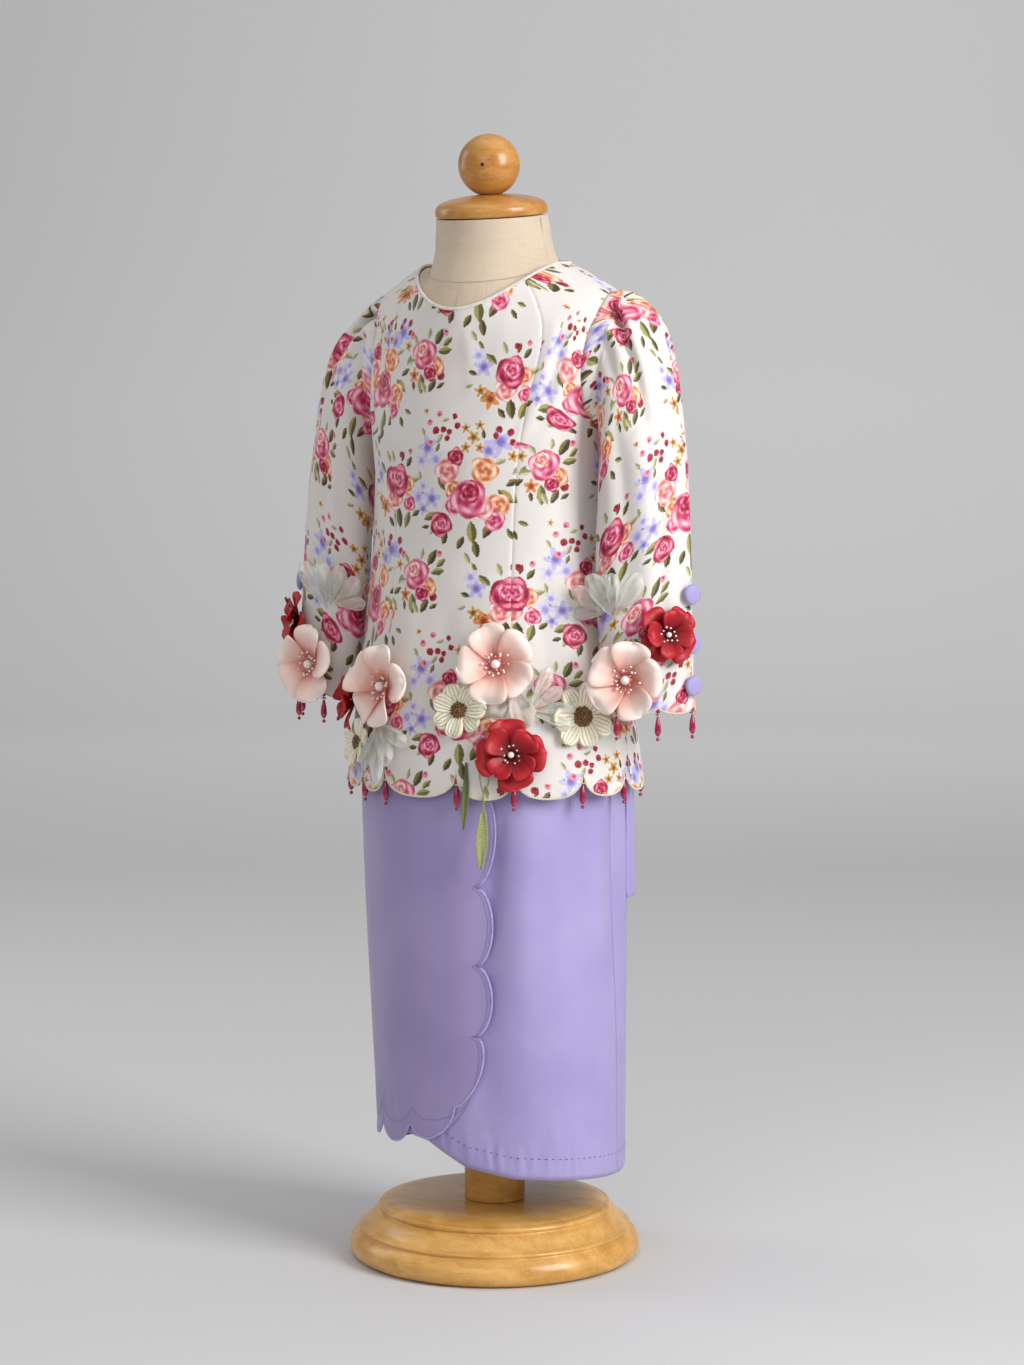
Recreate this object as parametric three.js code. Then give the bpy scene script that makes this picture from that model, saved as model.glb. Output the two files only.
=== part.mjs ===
// A child's kebaya ensemble on a limbless dress form: printed tunic with scalloped hem, puffed
// three-quarter sleeves, lilac wrap skirt with a scalloped overlap, fabric flowers and bead drops.
// Millimetres, +Z up, front towards -Y, the wearer's left towards +X, origin under the base.
import * as THREE from "three";

// ---- driving sizes ------------------------------------------------------------------------
const CLOTH = 1.2; // wall of every cloth panel
const SEAM_GAP = 0.3; // clear space between neighbouring pieces
const LAYER = CLOTH + SEAM_GAP; // from the middle of one layer to the middle of the next
const TRIM_LAYER = 1.0; // wall of petals, net and ribbon leaves

const POLE_RADIUS = 23.4;
const PLATE_TOP = 43;
const FORM_BOTTOM = 300;
const NECK_TOP = { y: -4, z: 798.5, radius: 42.4 };
const HEAD_TILT = THREE.MathUtils.degToRad(6); // cap and ball lean towards the front
const CAP_HEIGHT = 16.6;
const BALL_RADIUS = 23.4;
const BALL_SEAT_RADIUS = 9;

const HEM_RING = 13; // ring of the tunic table where its scallops meet
const ARMHOLE = { top: 2, bottom: 6, halfAngle: 24.5 };
const SLEEVE_COLUMNS = 24;
const SEGMENTS_PER_SCALLOP = 4;

const COLORS = {
  maple: 0xc98f45,
  linen: 0xd8cdb9,
  print: 0xf1ece6,
  piping: 0xefe6d2,
  lilac: 0x9d8cd0,
  blush: 0xf2cdbf,
  red: 0xb8152a,
  cream: 0xe7e2c4,
  net: 0xe2e6d8,
  olive: 0x7d8f52,
  crimson: 0x9c1238,
};

// ---- sections -----------------------------------------------------------------------------
// Tunic rings from the neckline down: heights at side, front and back, half width, depth to
// the front and to the back of the ring's centre, and where that centre lies.
const TUNIC_RINGS = [
  { sideZ: 763, frontZ: 729, backZ: 768, width: 57, front: 67, back: 46, centreY: 4 },
  { sideZ: 753, frontZ: 707, backZ: 756, width: 78, front: 72, back: 53, centreY: 8 },
  { sideZ: 739, frontZ: 688, backZ: 739, width: 97, front: 74, back: 60, centreY: 10 },
  { sideZ: 717, frontZ: 667, backZ: 713, width: 99, front: 75, back: 67, centreY: 8 },
  { sideZ: 690, frontZ: 650, backZ: 686, width: 98.5, front: 75, back: 72, centreY: 5 },
  { sideZ: 664, frontZ: 634, backZ: 658, width: 97, front: 75, back: 75, centreY: 2 },
  { sideZ: 640, frontZ: 620, backZ: 636, width: 96, front: 75, back: 75, centreY: 0 },
  { sideZ: 600, frontZ: 594, backZ: 600, width: 95, front: 74, back: 74, centreY: 0 },
  { sideZ: 560, frontZ: 560, backZ: 560, width: 95, front: 74, back: 74, centreY: 0 },
  { sideZ: 520, frontZ: 520, backZ: 520, width: 98, front: 77, back: 77, centreY: 0 },
  { sideZ: 480, frontZ: 480, backZ: 480, width: 103, front: 82, back: 82, centreY: 0 },
  { sideZ: 445, frontZ: 445, backZ: 445, width: 108, front: 87, back: 87, centreY: 0 },
  { sideZ: 415, frontZ: 413, backZ: 413, width: 112.5, front: 92, back: 91, centreY: 0 },
  { sideZ: 386, frontZ: 385, backZ: 384, width: 116, front: 96, back: 95, centreY: 0 },
  { sideZ: 368, frontZ: 367, backZ: 366, width: 118, front: 98, back: 97, centreY: 0 },
];

// Where the princess seam crosses each tunic ring, in degrees from the centre front.
const PRINCESS_ANGLES = [54, 48, 42, 40, 37, 36, 35, 33, 32, 31, 31, 31.5, 32, 32, 32];

// Where two scallops of the tunic hem meet, in degrees from the centre front.
const TUNIC_NOTCHES = [-37, -22.5, 10, 32, 60.5, 85, 113, 140, 168, 196, 223, 250, 277, 304];

// Skirt rings from the waist down.
const SKIRT_RINGS = [
  { z: 505, width: 94.2, front: 73.4, back: 73.4, centreX: 0 },
  { z: 470, width: 98.5, front: 77.5, back: 77.5, centreX: 0 },
  { z: 430, width: 101, front: 81.5, back: 81, centreX: 0 },
  { z: 390, width: 103, front: 86, back: 84, centreX: 0 },
  { z: 350, width: 103.5, front: 88.5, back: 87, centreX: 0 },
  { z: 290, width: 102.5, front: 86, back: 90, centreX: 0.5 },
  { z: 230, width: 101, front: 82.5, back: 94, centreX: 1.5 },
  { z: 170, width: 99, front: 79.5, back: 97.5, centreX: 3 },
  { z: 115, width: 97, front: 77.5, back: 99.5, centreX: 4 },
  { z: 68, width: 96, front: 76.5, back: 100, centreX: 4.5 },
];

// Height of the plain skirt hem round the body, in degrees from the centre front.
const SKIRT_HEM = [
  { angle: -100, z: 100 },
  { angle: -60, z: 112 },
  { angle: -12, z: 101 },
  { angle: 8, z: 84 },
  { angle: 31, z: 77 },
  { angle: 71, z: 73.5 },
  { angle: 105, z: 70 },
  { angle: 180, z: 70 },
  { angle: 262, z: 78 },
];

// Meeting points of the scallops on the overlap: down its free edge, then along its hem.
const OVERLAP_EDGE = [
  { angle: 24, z: 505 },
  { angle: 23, z: 440 },
  { angle: 20, z: 371 },
  { angle: 16.9, z: 300 },
  { angle: 16, z: 240 },
  { angle: 14.4, z: 186 },
  { angle: 4, z: 131 },
];
const OVERLAP_HEM = [
  { angle: -98, z: 112 },
  { angle: -73, z: 113 },
  { angle: -45.5, z: 113 },
  { angle: -18.2, z: 116 },
  { angle: 4, z: 131 },
];
const OVERLAP_BULGE = { edge: 9, hem: 15 }; // degrees sideways and millimetres down
const UNDER_PANEL = { from: -60, to: 84, toAtHem: 98 };
const OVERLAP_SIDE = -98;
const OVERLAP_EASE = 0.9; // extra room between the two wrapped layers

// Left sleeve rings from the armhole down: outermost and innermost points and half depth.
const SLEEVE_RINGS = [
  { outX: 106, outY: 19, outZ: 741, inX: 99, inY: 2, inZ: 634, depth: 35 },
  { outX: 119, outY: 18, outZ: 732, inX: 100, inY: -2, inZ: 626, depth: 38 },
  { outX: 132, outY: 14, outZ: 716, inX: 101, inY: -6, inZ: 616, depth: 39 },
  { outX: 142.5, outY: 10, outZ: 692, inX: 101.3, inY: -10, inZ: 606, depth: 37 },
  { outX: 150.5, outY: 6, outZ: 662, inX: 101.3, inY: -15, inZ: 592, depth: 33 },
  { outX: 157.5, outY: 3, outZ: 628, inX: 101.3, inY: -19, inZ: 574, depth: 29 },
  { outX: 163, outY: 0, outZ: 590, inX: 101.3, inY: -22.5, inZ: 552, depth: 26 },
  { outX: 166, outY: -1.5, outZ: 545, inX: 101.8, inY: -23.5, inZ: 522, depth: 25 },
  { outX: 167.5, outY: -3, outZ: 497, inX: 104.5, inY: -24, inZ: 486, depth: 25.5 },
  { outX: 169, outY: -4, outZ: 458, inX: 109, inY: -24.5, inZ: 454, depth: 26.5 },
  { outX: 170.5, outY: -5, outZ: 436, inX: 112.5, inY: -25, inZ: 436, depth: 27 },
];

// Soft folds of the sleeve: where round the sleeve, how deep, how wide, and which rings.
const SLEEVE_FOLDS = [
  { angle: -58, depth: -5.5, spread: 9, from: 0, to: 3.2 },
  { angle: -40, depth: 3.2, spread: 10, from: 0, to: 4.5 },
  { angle: -15, depth: -2.2, spread: 9, from: 0, to: 4 },
  { angle: 14, depth: 2.4, spread: 12, from: 0, to: 5 },
  { angle: 42, depth: -2.4, spread: 10, from: 0, to: 4 },
  { angle: 66, depth: 2.6, spread: 11, from: 0, to: 5 },
  { angle: -95, depth: -2.6, spread: 12, from: 3, to: 9 },
  { angle: -68, depth: 2.4, spread: 12, from: 4, to: 10 },
  { angle: -22, depth: -1.8, spread: 12, from: 4, to: 10 },
  { angle: 95, depth: -2.4, spread: 14, from: 3, to: 9 },
];

// Blooms on the tunic hem: direction in degrees, height, petals, radius, cup depth.
const HEM_BLOOMS = [
  { name: "bloom_red_side", color: "red", angle: -54, z: 431, radius: 23, petals: 5, cup: 7 },
  { name: "bloom_blush_side", color: "blush", angle: -26.4, z: 445, radius: 29, petals: 5, cup: 10 },
  { name: "daisy_side", color: "cream", angle: -42.5, z: 401, radius: 19, petals: 7, cup: 3 },
  { name: "daisy_front", color: "cream", angle: 10.5, z: 432, radius: 21.5, petals: 7, cup: 3 },
  { name: "bloom_blush_front", color: "blush", angle: 25, z: 466, radius: 28, petals: 5, cup: 9 },
  { name: "bloom_red_front", color: "red", angle: 31, z: 400, radius: 24.5, petals: 5, cup: 6 },
  { name: "daisy_left", color: "cream", angle: 61, z: 427, radius: 23.5, petals: 7, cup: 3 },
];

// Loose petals of stiff net: direction, root height, tip height, half width, lean off the cloth.
const HEM_NETS = [
  { name: "net_side", angle: -27.5, topZ: 412, tipZ: 372, spread: 9, lean: 9 },
  { name: "net_front", angle: 45, topZ: 462, tipZ: 420, spread: 8, lean: 6 },
];

// Ribbon leaves below the front blooms: direction, top, tip, half width, lean off the cloth.
const RIBBON_LEAVES = [
  { name: "leaf_olive", angle: 14, topZ: 394, tipZ: 345, spread: 2.4, lean: 3, stem: 0.1 },
  { name: "leaf_lace", angle: 20.5, topZ: 392, tipZ: 317, spread: 3.6, lean: 4, stem: 0.45 },
];

// Blooms, nets and bead drops of the left cuff; the right cuff mirrors them.
const CUFF_BLOOMS = [
  { name: "cuff_bloom_red", color: "red", turn: -46, ring: 8.15, radius: 21.5, petals: 5, cup: 6 },
  { name: "cuff_bloom_blush", color: "blush", turn: -97, ring: 9, radius: 28, petals: 5, cup: 9 },
];
const CUFF_NET = { name: "cuff_net", turn: -128, ring: 7.35, radius: 24, petals: 3, cup: 9 };
const CUFF_DROP_SCALLOPS = [0, 4, 5];
const CUFF_BUTTONS = { turn: -6, rings: [7.55, 8.35, 9.25], radius: 8, height: 5.5, facing: -24 };

// Bead drop: thread bead, spacer, long drop and end bead.
const DROP_PROFILE = [
  { radius: 0, down: 0 },
  { radius: 1.8, down: 1.6 },
  { radius: 1.2, down: 4 },
  { radius: 1.6, down: 7 },
  { radius: 2.7, down: 18 },
  { radius: 1.2, down: 21.4 },
  { radius: 1.5, down: 23.3 },
  { radius: 0, down: 24.8 },
];
const DROP_SIDES = 5;
// From the meeting point of two scallops to the drop: more where a scallop is narrow and steep.
const DROP_GAP = { cuff: 1.1, wide: 2.5, wideAngle: 28, perDegree: 0.1 };

// ---- small helpers --------------------------------------------------------------------------
const ensemble = new THREE.Group();
const radians = THREE.MathUtils.degToRad;
const vector = (x, y, z) => new THREE.Vector3(x, y, z);

function addMesh(name, geometry, color, finish) {
  const material = new THREE.MeshStandardMaterial({
    color: COLORS[color],
    roughness: finish === "gloss" ? 0.25 : 0.85,
    metalness: 0,
    side: THREE.DoubleSide,
  });
  const mesh = new THREE.Mesh(geometry, material);
  mesh.name = name;
  ensemble.add(mesh);
  return mesh;
}

function geometryOf(points, triangles) {
  const geometry = new THREE.BufferGeometry();
  geometry.setAttribute("position", new THREE.Float32BufferAttribute(points.flatMap((p) => p.toArray()), 3));
  geometry.setIndex(triangles.flat());
  return geometry;
}

// Smooth value of one column of a table between its rows.
function between(rows, column, index) {
  const last = rows.length - 1;
  const i = Math.min(Math.max(Math.floor(index), 0), last - 1);
  const t = index - i;
  const at = (n) => rows[Math.min(Math.max(n, 0), last)][column];
  const [p0, p1, p2, p3] = [at(i - 1), at(i), at(i + 1), at(i + 2)];
  const cubic = (2 * p0 - 5 * p1 + 4 * p2 - p3) * t * t + (3 * p1 - p0 - 3 * p2 + p3) * t * t * t;
  return 0.5 * (2 * p1 + (p2 - p0) * t + cubic);
}

// Straight-line value of a table that is sorted by its key column.
function lookUp(rows, key, column, value) {
  const next = rows.findIndex((row) => row[key] >= value);
  if (next < 0) return rows[rows.length - 1][column];
  if (next === 0) return rows[0][column];
  const [a, b] = [rows[next - 1], rows[next]];
  const t = (value - a[key]) / (b[key] - a[key]);
  return a[column] + (b[column] - a[column]) * t;
}

const mix = (a, b, t) => a + (b - a) * t;
const steps = (count) => Array.from({ length: count + 1 }, (_, i) => i / count);

// Height of a scallop's arc where t runs from one meeting point to the next.
function scallopArc(t) {
  return Math.pow(Math.max(4 * t * (1 - t), 0), 0.6);
}

// Outward normals of a grid whose rows run down and whose columns run anticlockwise from above.
function gridNormals(grid, closed) {
  const rows = grid.length;
  const columns = grid[0].length;
  return grid.map((row, i) =>
    row.map((_, j) => {
      const left = closed ? (j + columns - 1) % columns : Math.max(j - 1, 0);
      const right = closed ? (j + 1) % columns : Math.min(j + 1, columns - 1);
      const across = grid[i][right].clone().sub(grid[i][left]);
      const down = grid[Math.min(i + 1, rows - 1)][j].clone().sub(grid[Math.max(i - 1, 0)][j]);
      return down.cross(across).normalize();
    }),
  );
}

// A closed wall round a grid of middle points, with its edges joined.
function wallOf(grid, { thickness = CLOTH, closed = false, lift = 0, normals = null } = {}) {
  const rows = grid.length;
  const columns = grid[0].length;
  const away = normals || gridNormals(grid, closed);
  const side = (offset) =>
    grid.flatMap((row, i) => row.map((p, j) => p.clone().addScaledVector(away[i][j], offset)));
  const points = [...side(lift + thickness / 2), ...side(lift - thickness / 2)];
  const outer = (i, j) => i * columns + (j % columns);
  const inner = (i, j) => rows * columns + outer(i, j);
  const triangles = [];
  const quad = (a, b, c, d) => triangles.push([a, b, c], [a, c, d]);
  const spans = closed ? columns : columns - 1;
  for (let j = 0; j < spans; j += 1) {
    for (let i = 0; i < rows - 1; i += 1) {
      quad(outer(i, j), outer(i + 1, j), outer(i + 1, j + 1), outer(i, j + 1));
      quad(inner(i, j), inner(i, j + 1), inner(i + 1, j + 1), inner(i + 1, j));
    }
    quad(outer(0, j), outer(0, j + 1), inner(0, j + 1), inner(0, j));
    quad(outer(rows - 1, j), inner(rows - 1, j), inner(rows - 1, j + 1), outer(rows - 1, j + 1));
  }
  if (!closed) {
    const right = columns - 1;
    for (let i = 0; i < rows - 1; i += 1) {
      quad(outer(i, 0), inner(i, 0), inner(i + 1, 0), outer(i + 1, 0));
      quad(outer(i, right), outer(i + 1, right), inner(i + 1, right), inner(i, right));
    }
  }
  return geometryOf(points, triangles);
}

// A closed solid through rings that run from its top down, capped at both ends.
function solidOfRings(rings) {
  const columns = rings[0].length;
  const centre = (ring) => ring.reduce((sum, p) => sum.add(p), vector(0, 0, 0)).divideScalar(columns);
  const points = [...rings.flat(), centre(rings[0]), centre(rings[rings.length - 1])];
  const at = (i, j) => i * columns + (j % columns);
  const [top, bottom] = [rings.length * columns, rings.length * columns + 1];
  const triangles = [];
  for (let j = 0; j < columns; j += 1) {
    for (let i = 0; i < rings.length - 1; i += 1) {
      triangles.push([at(i, j), at(i + 1, j), at(i + 1, j + 1)]);
      triangles.push([at(i, j), at(i + 1, j + 1), at(i, j + 1)]);
    }
    triangles.push([top, at(0, j), at(0, j + 1)]);
    triangles.push([bottom, at(rings.length - 1, j + 1), at(rings.length - 1, j)]);
  }
  return geometryOf(points, triangles);
}

const mirrored = (grid) => grid.map((row) => row.map((p) => vector(-p.x, p.y, p.z)).reverse());

// ---- surfaces ---------------------------------------------------------------------------------
function tunicPoint(angle, ring) {
  const s = Math.sin(radians(angle));
  const c = Math.cos(radians(angle));
  const value = (column) => between(TUNIC_RINGS, column, ring);
  const depth = c > 0 ? value("front") : value("back");
  const endZ = c > 0 ? value("frontZ") : value("backZ");
  const z = mix(value("sideZ"), endZ, c * c);
  return vector(value("width") * s, value("centreY") - depth * c, z);
}

function skirtPoint(angle, z) {
  const s = Math.sin(radians(angle));
  const c = Math.cos(radians(angle));
  const rows = SKIRT_RINGS.map((row) => ({ ...row, down: -row.z }));
  const value = (column) => lookUp(rows, "down", column, -z);
  const depth = c > 0 ? value("front") : value("back");
  return vector(value("centreX") + value("width") * s, -depth * c, z);
}

const NORMAL_STEP = 0.25;
function normalOf(surface, u, v) {
  const across = surface(u + NORMAL_STEP * 4, v).sub(surface(u - NORMAL_STEP * 4, v));
  const down = surface(u, v + NORMAL_STEP).sub(surface(u, v - NORMAL_STEP));
  return down.cross(across).normalize();
}

function tunicNormal(angle, ring) {
  const last = TUNIC_RINGS.length - 1 - NORMAL_STEP;
  return normalOf(tunicPoint, angle, Math.min(Math.max(ring, NORMAL_STEP), last));
}

const skirtNormal = (angle, z) => normalOf((a, down) => skirtPoint(a, -down * 40), angle, -z / 40);

// Ring number of the tunic at a height, for a direction.
function tunicRingAt(angle, z) {
  let [high, low] = [0, TUNIC_RINGS.length - 1];
  for (let n = 0; n < 30; n += 1) {
    const middle = (high + low) / 2;
    if (tunicPoint(angle, middle).z > z) high = middle;
    else low = middle;
  }
  return (high + low) / 2;
}

// Half the angle that the armhole takes out of a ring.
function armholeAngle(ring) {
  const middle = (ARMHOLE.top + ARMHOLE.bottom) / 2;
  const t = (ring - middle) / (ARMHOLE.bottom - middle);
  return Math.abs(t) < 1 ? ARMHOLE.halfAngle * Math.sqrt(1 - t * t) : 0;
}

// ---- stand and form -----------------------------------------------------------------------------
const BASE_PROFILE = [
  { radius: 0, z: 0 },
  { radius: 106, z: 0 },
  { radius: 109.5, z: 1.5 },
  { radius: 112.6, z: 8 },
  { radius: 111.4, z: 15 },
  { radius: 106.5, z: 20.5 },
  { radius: 103.8, z: 21.6 },
  { radius: 103, z: 25 },
  { radius: 99, z: 31 },
  { radius: 94, z: 34.8 },
  { radius: 90.4, z: 36.2 },
  { radius: 89.6, z: 38.4 },
  { radius: 86, z: 41.2 },
  { radius: 78, z: PLATE_TOP },
  { radius: 0, z: PLATE_TOP },
];

const CAP_PROFILE = [
  { radius: 0, z: SEAM_GAP },
  { radius: 41, z: SEAM_GAP },
  { radius: 42.6, z: 2 },
  { radius: 42.6, z: 7 },
  { radius: 40, z: 10.5 },
  { radius: 32, z: 13.8 },
  { radius: 20, z: 15.8 },
  { radius: BALL_SEAT_RADIUS + 1, z: CAP_HEIGHT },
  { radius: 0, z: CAP_HEIGHT },
];

function turned(profile, segments) {
  const lathe = new THREE.LatheGeometry(profile.map((p) => new THREE.Vector2(p.radius, p.z)), segments);
  return lathe.rotateX(Math.PI / 2);
}

function makeStand() {
  addMesh("base", turned(BASE_PROFILE, 40), "maple", "gloss");
  const poleEnds = [PLATE_TOP + SEAM_GAP, FORM_BOTTOM - SEAM_GAP];
  const pole = [
    { radius: 0, z: poleEnds[0] },
    { radius: POLE_RADIUS, z: poleEnds[0] },
    { radius: POLE_RADIUS, z: poleEnds[1] },
    { radius: 0, z: poleEnds[1] },
  ];
  addMesh("pole", turned(pole, 28), "maple", "gloss");
}

function ballProfile() {
  const start = Math.asin(BALL_SEAT_RADIUS / BALL_RADIUS);
  const arc = steps(9).map((t) => {
    const a = mix(start, Math.PI, t);
    return { radius: BALL_RADIUS * Math.sin(a), z: -BALL_RADIUS * Math.cos(a) };
  });
  arc[arc.length - 1].radius = 0;
  const seat = arc[0].z;
  const lifted = arc.map((p) => ({ radius: p.radius, z: p.z - seat + CAP_HEIGHT + SEAM_GAP }));
  return [{ radius: 0, z: CAP_HEIGHT + SEAM_GAP }, ...lifted];
}

function makeNeckCap() {
  const head = new THREE.Group();
  head.position.set(0, NECK_TOP.y, NECK_TOP.z);
  head.rotation.x = HEAD_TILT;
  head.add(addMesh("neck_cap", turned(CAP_PROFILE, 28), "maple", "gloss"));
  head.add(addMesh("finial_ball", turned(ballProfile(), 22), "maple", "gloss"));
  ensemble.add(head);
}

// Rings of the neck above the tunic: centre, radii and forward tilt.
const NECK_RINGS = [
  { y: NECK_TOP.y, z: NECK_TOP.z, width: 42.4, front: 42.4, back: 42.4, tilt: HEAD_TILT },
  { y: -2, z: 786, width: 43.6, front: 43.6, back: 43.6, tilt: HEAD_TILT },
  { y: 0, z: 774, width: 45, front: 46.5, back: 43.5, tilt: radians(9) },
  { y: 2, z: 760, width: 49, front: 56, back: 43.5, tilt: radians(14) },
];
// How far the form lies inside the tunic's middle surface at each ring it shares.
const FORM_EASE = [1.9, 1.6, 1.4, 1.9, 2.2, 2.6, 3, 4.2, 5, 5.7, 8.8, 13];
// Flat plates where arms would be, sunk under the armholes.
const ARM_PLATE = { depth: 4, spread: 34 };
function armPlate(angle, ring) {
  if (ring < ARMHOLE.top || ring > ARMHOLE.bottom) return 0;
  const fromSide = 90 - Math.abs((((angle + 90) % 180) - 90 + 180) % 180);
  return ARM_PLATE.depth * Math.exp(-((fromSide / ARM_PLATE.spread) ** 2));
}
// The hidden end of the form below the waist.
const FORM_HIPS = [
  { z: 420, width: 96, front: 76, back: 76 },
  { z: 370, width: 97, front: 77, back: 78 },
  { z: 330, width: 94, front: 74, back: 75 },
  { z: 307, width: 86, front: 66, back: 67 },
  { z: FORM_BOTTOM, width: 74, front: 56, back: 56 },
];

function makeForm() {
  const columns = 36;
  const angles = steps(columns).slice(0, columns).map((t) => t * 360);
  const oval = (row, angle) => {
    const s = Math.sin(radians(angle));
    const c = Math.cos(radians(angle));
    const y = (row.y || 0) - (c > 0 ? row.front : row.back) * c;
    const rise = Math.tan(row.tilt || 0) * (y - (row.y || 0));
    return vector(row.width * s, y, row.z + rise);
  };
  const neck = NECK_RINGS.map((row) => angles.map((angle) => oval(row, angle)));
  const shared = FORM_EASE.map((ease, ring) =>
    angles.map((angle) => {
      const inward = -ease - armPlate(angle, ring);
      return tunicPoint(angle, ring).addScaledVector(tunicNormal(angle, ring), inward);
    }),
  );
  const hips = FORM_HIPS.map((row) => angles.map((angle) => oval(row, angle)));
  addMesh("form_torso", solidOfRings([...neck, ...shared, ...hips]), "linen");
}

// ---- tunic ------------------------------------------------------------------------------------
// Fraction of the way between the notches on either side of an angle.
function scallopPlace(angle) {
  const turn = TUNIC_NOTCHES[0] + 360;
  const wrapped = ((angle - TUNIC_NOTCHES[0] + 720) % 360) + TUNIC_NOTCHES[0];
  const notches = [...TUNIC_NOTCHES, turn];
  const next = notches.findIndex((notch) => notch > wrapped + 1e-6);
  if (next < 1) return 0;
  return (wrapped - notches[next - 1]) / (notches[next] - notches[next - 1]);
}

// Hem columns between two directions: every notch and the steps between them.
function hemColumns(from, to) {
  const notches = [...TUNIC_NOTCHES, TUNIC_NOTCHES[0] + 360];
  const all = [];
  for (const turn of [-360, 0]) {
    for (let n = 0; n < notches.length - 1; n += 1) {
      for (let s = 0; s < SEGMENTS_PER_SCALLOP; s += 1) {
        all.push(mix(notches[n], notches[n + 1], s / SEGMENTS_PER_SCALLOP) + turn);
      }
    }
  }
  const inside = all.filter((angle) => angle > from + 1.5 && angle < to - 1.5);
  return [from, ...inside, to].map((angle) => (angle - from) / (to - from));
}

// A tunic panel between two seam lines, each given as an angle for a ring.
function tunicPanel(name, fromAngle, toAngle) {
  const seamHalf = THREE.MathUtils.radToDeg(SEAM_GAP / 2 / 80);
  const columns = hemColumns(fromAngle(HEM_RING), toAngle(HEM_RING));
  const grid = [];
  const normals = [];
  for (let ring = 0; ring <= HEM_RING; ring += 1) {
    const places = columns.map((u) => {
      const angle = mix(fromAngle(ring) + seamHalf, toAngle(ring) - seamHalf, u);
      const drop = ring === HEM_RING ? scallopArc(scallopPlace(angle)) : 0;
      return { angle, ring: ring + drop };
    });
    grid.push(places.map((p) => tunicPoint(p.angle, p.ring)));
    normals.push(places.map((p) => tunicNormal(p.angle, p.ring)));
  }
  addMesh(name, wallOf(grid, { normals }), "print");
}

function makeTunic() {
  const princess = (ring) => PRINCESS_ANGLES[ring];
  const leftFrontEdge = (ring) => 90 - armholeAngle(ring);
  const leftBackEdge = (ring) => 90 + armholeAngle(ring);
  const opposite = (edge) => (ring) => -edge(ring);
  const fullTurn = (edge) => (ring) => 360 - edge(ring);
  tunicPanel("tunic_front_centre", opposite(princess), princess);
  tunicPanel("tunic_side_front_left", princess, leftFrontEdge);
  tunicPanel("tunic_side_front_right", opposite(leftFrontEdge), opposite(princess));
  tunicPanel("tunic_back", leftBackEdge, fullTurn(leftBackEdge));
  const binding = [0.02, 0.14].map((ring) =>
    steps(40).slice(0, 40).map((t) => tunicPoint(t * 360, ring)),
  );
  addMesh("neck_binding", wallOf(binding, { closed: true, lift: LAYER }), "piping");
}

// ---- sleeves ------------------------------------------------------------------------------------
function sleeveFold(turn, ring) {
  return SLEEVE_FOLDS.reduce((sum, fold) => {
    const away = ((turn - fold.angle + 540) % 360) - 180;
    const along = (ring - fold.from) / (fold.to - fold.from);
    if (along <= 0 || along >= 1) return sum;
    const round = Math.exp(-((away / fold.spread) ** 2));
    return sum + fold.depth * round * Math.sin(Math.PI * Math.sqrt(along));
  }, 0);
}

// Left sleeve: turn 0 is outermost, +90 the back, 180 innermost, -90 the front.
function sleeveCurve(turn, ring) {
  const c = Math.cos(radians(turn));
  const s = Math.sin(radians(turn));
  const value = (column) => between(SLEEVE_RINGS, column, ring);
  const out = vector(value("outX"), value("outY"), value("outZ"));
  const into = vector(value("inX"), value("inY"), value("inZ"));
  const middle = out.clone().add(into).multiplyScalar(0.5);
  const arm = out.sub(into).multiplyScalar(0.5);
  return middle.addScaledVector(arm, c).add(vector(0, value("depth") * s, 0));
}

function sleevePoint(turn, ring) {
  const point = sleeveCurve(turn, ring);
  const value = (column) => between(SLEEVE_RINGS, column, ring);
  const axis = vector((value("outX") + value("inX")) / 2, (value("outY") + value("inY")) / 2, point.z);
  const away = point.clone().sub(axis).normalize();
  return point.addScaledVector(away, sleeveFold(turn, ring));
}

// First ring of the sleeve: round the armhole, just clear of the tunic's outer face.
function armholePoint(turn) {
  const middle = (ARMHOLE.top + ARMHOLE.bottom) / 2;
  const reach = (ARMHOLE.bottom - ARMHOLE.top) / 2 + 0.06;
  const ring = middle - reach * Math.cos(radians(turn));
  const angle = 90 + (ARMHOLE.halfAngle + 1) * Math.sin(radians(turn));
  return tunicPoint(angle, ring).addScaledVector(tunicNormal(angle, ring), LAYER + 0.1);
}

const SLEEVE_HEM_SCALLOPS = 6;
const SLEEVE_HEM_DEPTH = 5;
function sleeveGrid() {
  const turns = steps(SLEEVE_COLUMNS).slice(0, SLEEVE_COLUMNS).map((t) => t * 360);
  const rings = [turns.map((turn) => armholePoint(turn))];
  const lastRing = SLEEVE_RINGS.length - 1;
  for (let ring = 0; ring <= lastRing; ring += 1) {
    rings.push(
      turns.map((turn) => {
        const point = sleevePoint(turn, ring);
        const place = ((turn / 360) * SLEEVE_HEM_SCALLOPS) % 1;
        if (ring === lastRing) point.z -= SLEEVE_HEM_DEPTH * scallopArc(place);
        return point;
      }),
    );
  }
  return rings;
}

function makeSleeves() {
  const left = sleeveGrid();
  addMesh("sleeve_left", wallOf(left, { closed: true }), "print");
  addMesh("sleeve_right", wallOf(mirrored(left), { closed: true }), "print");
}

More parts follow.
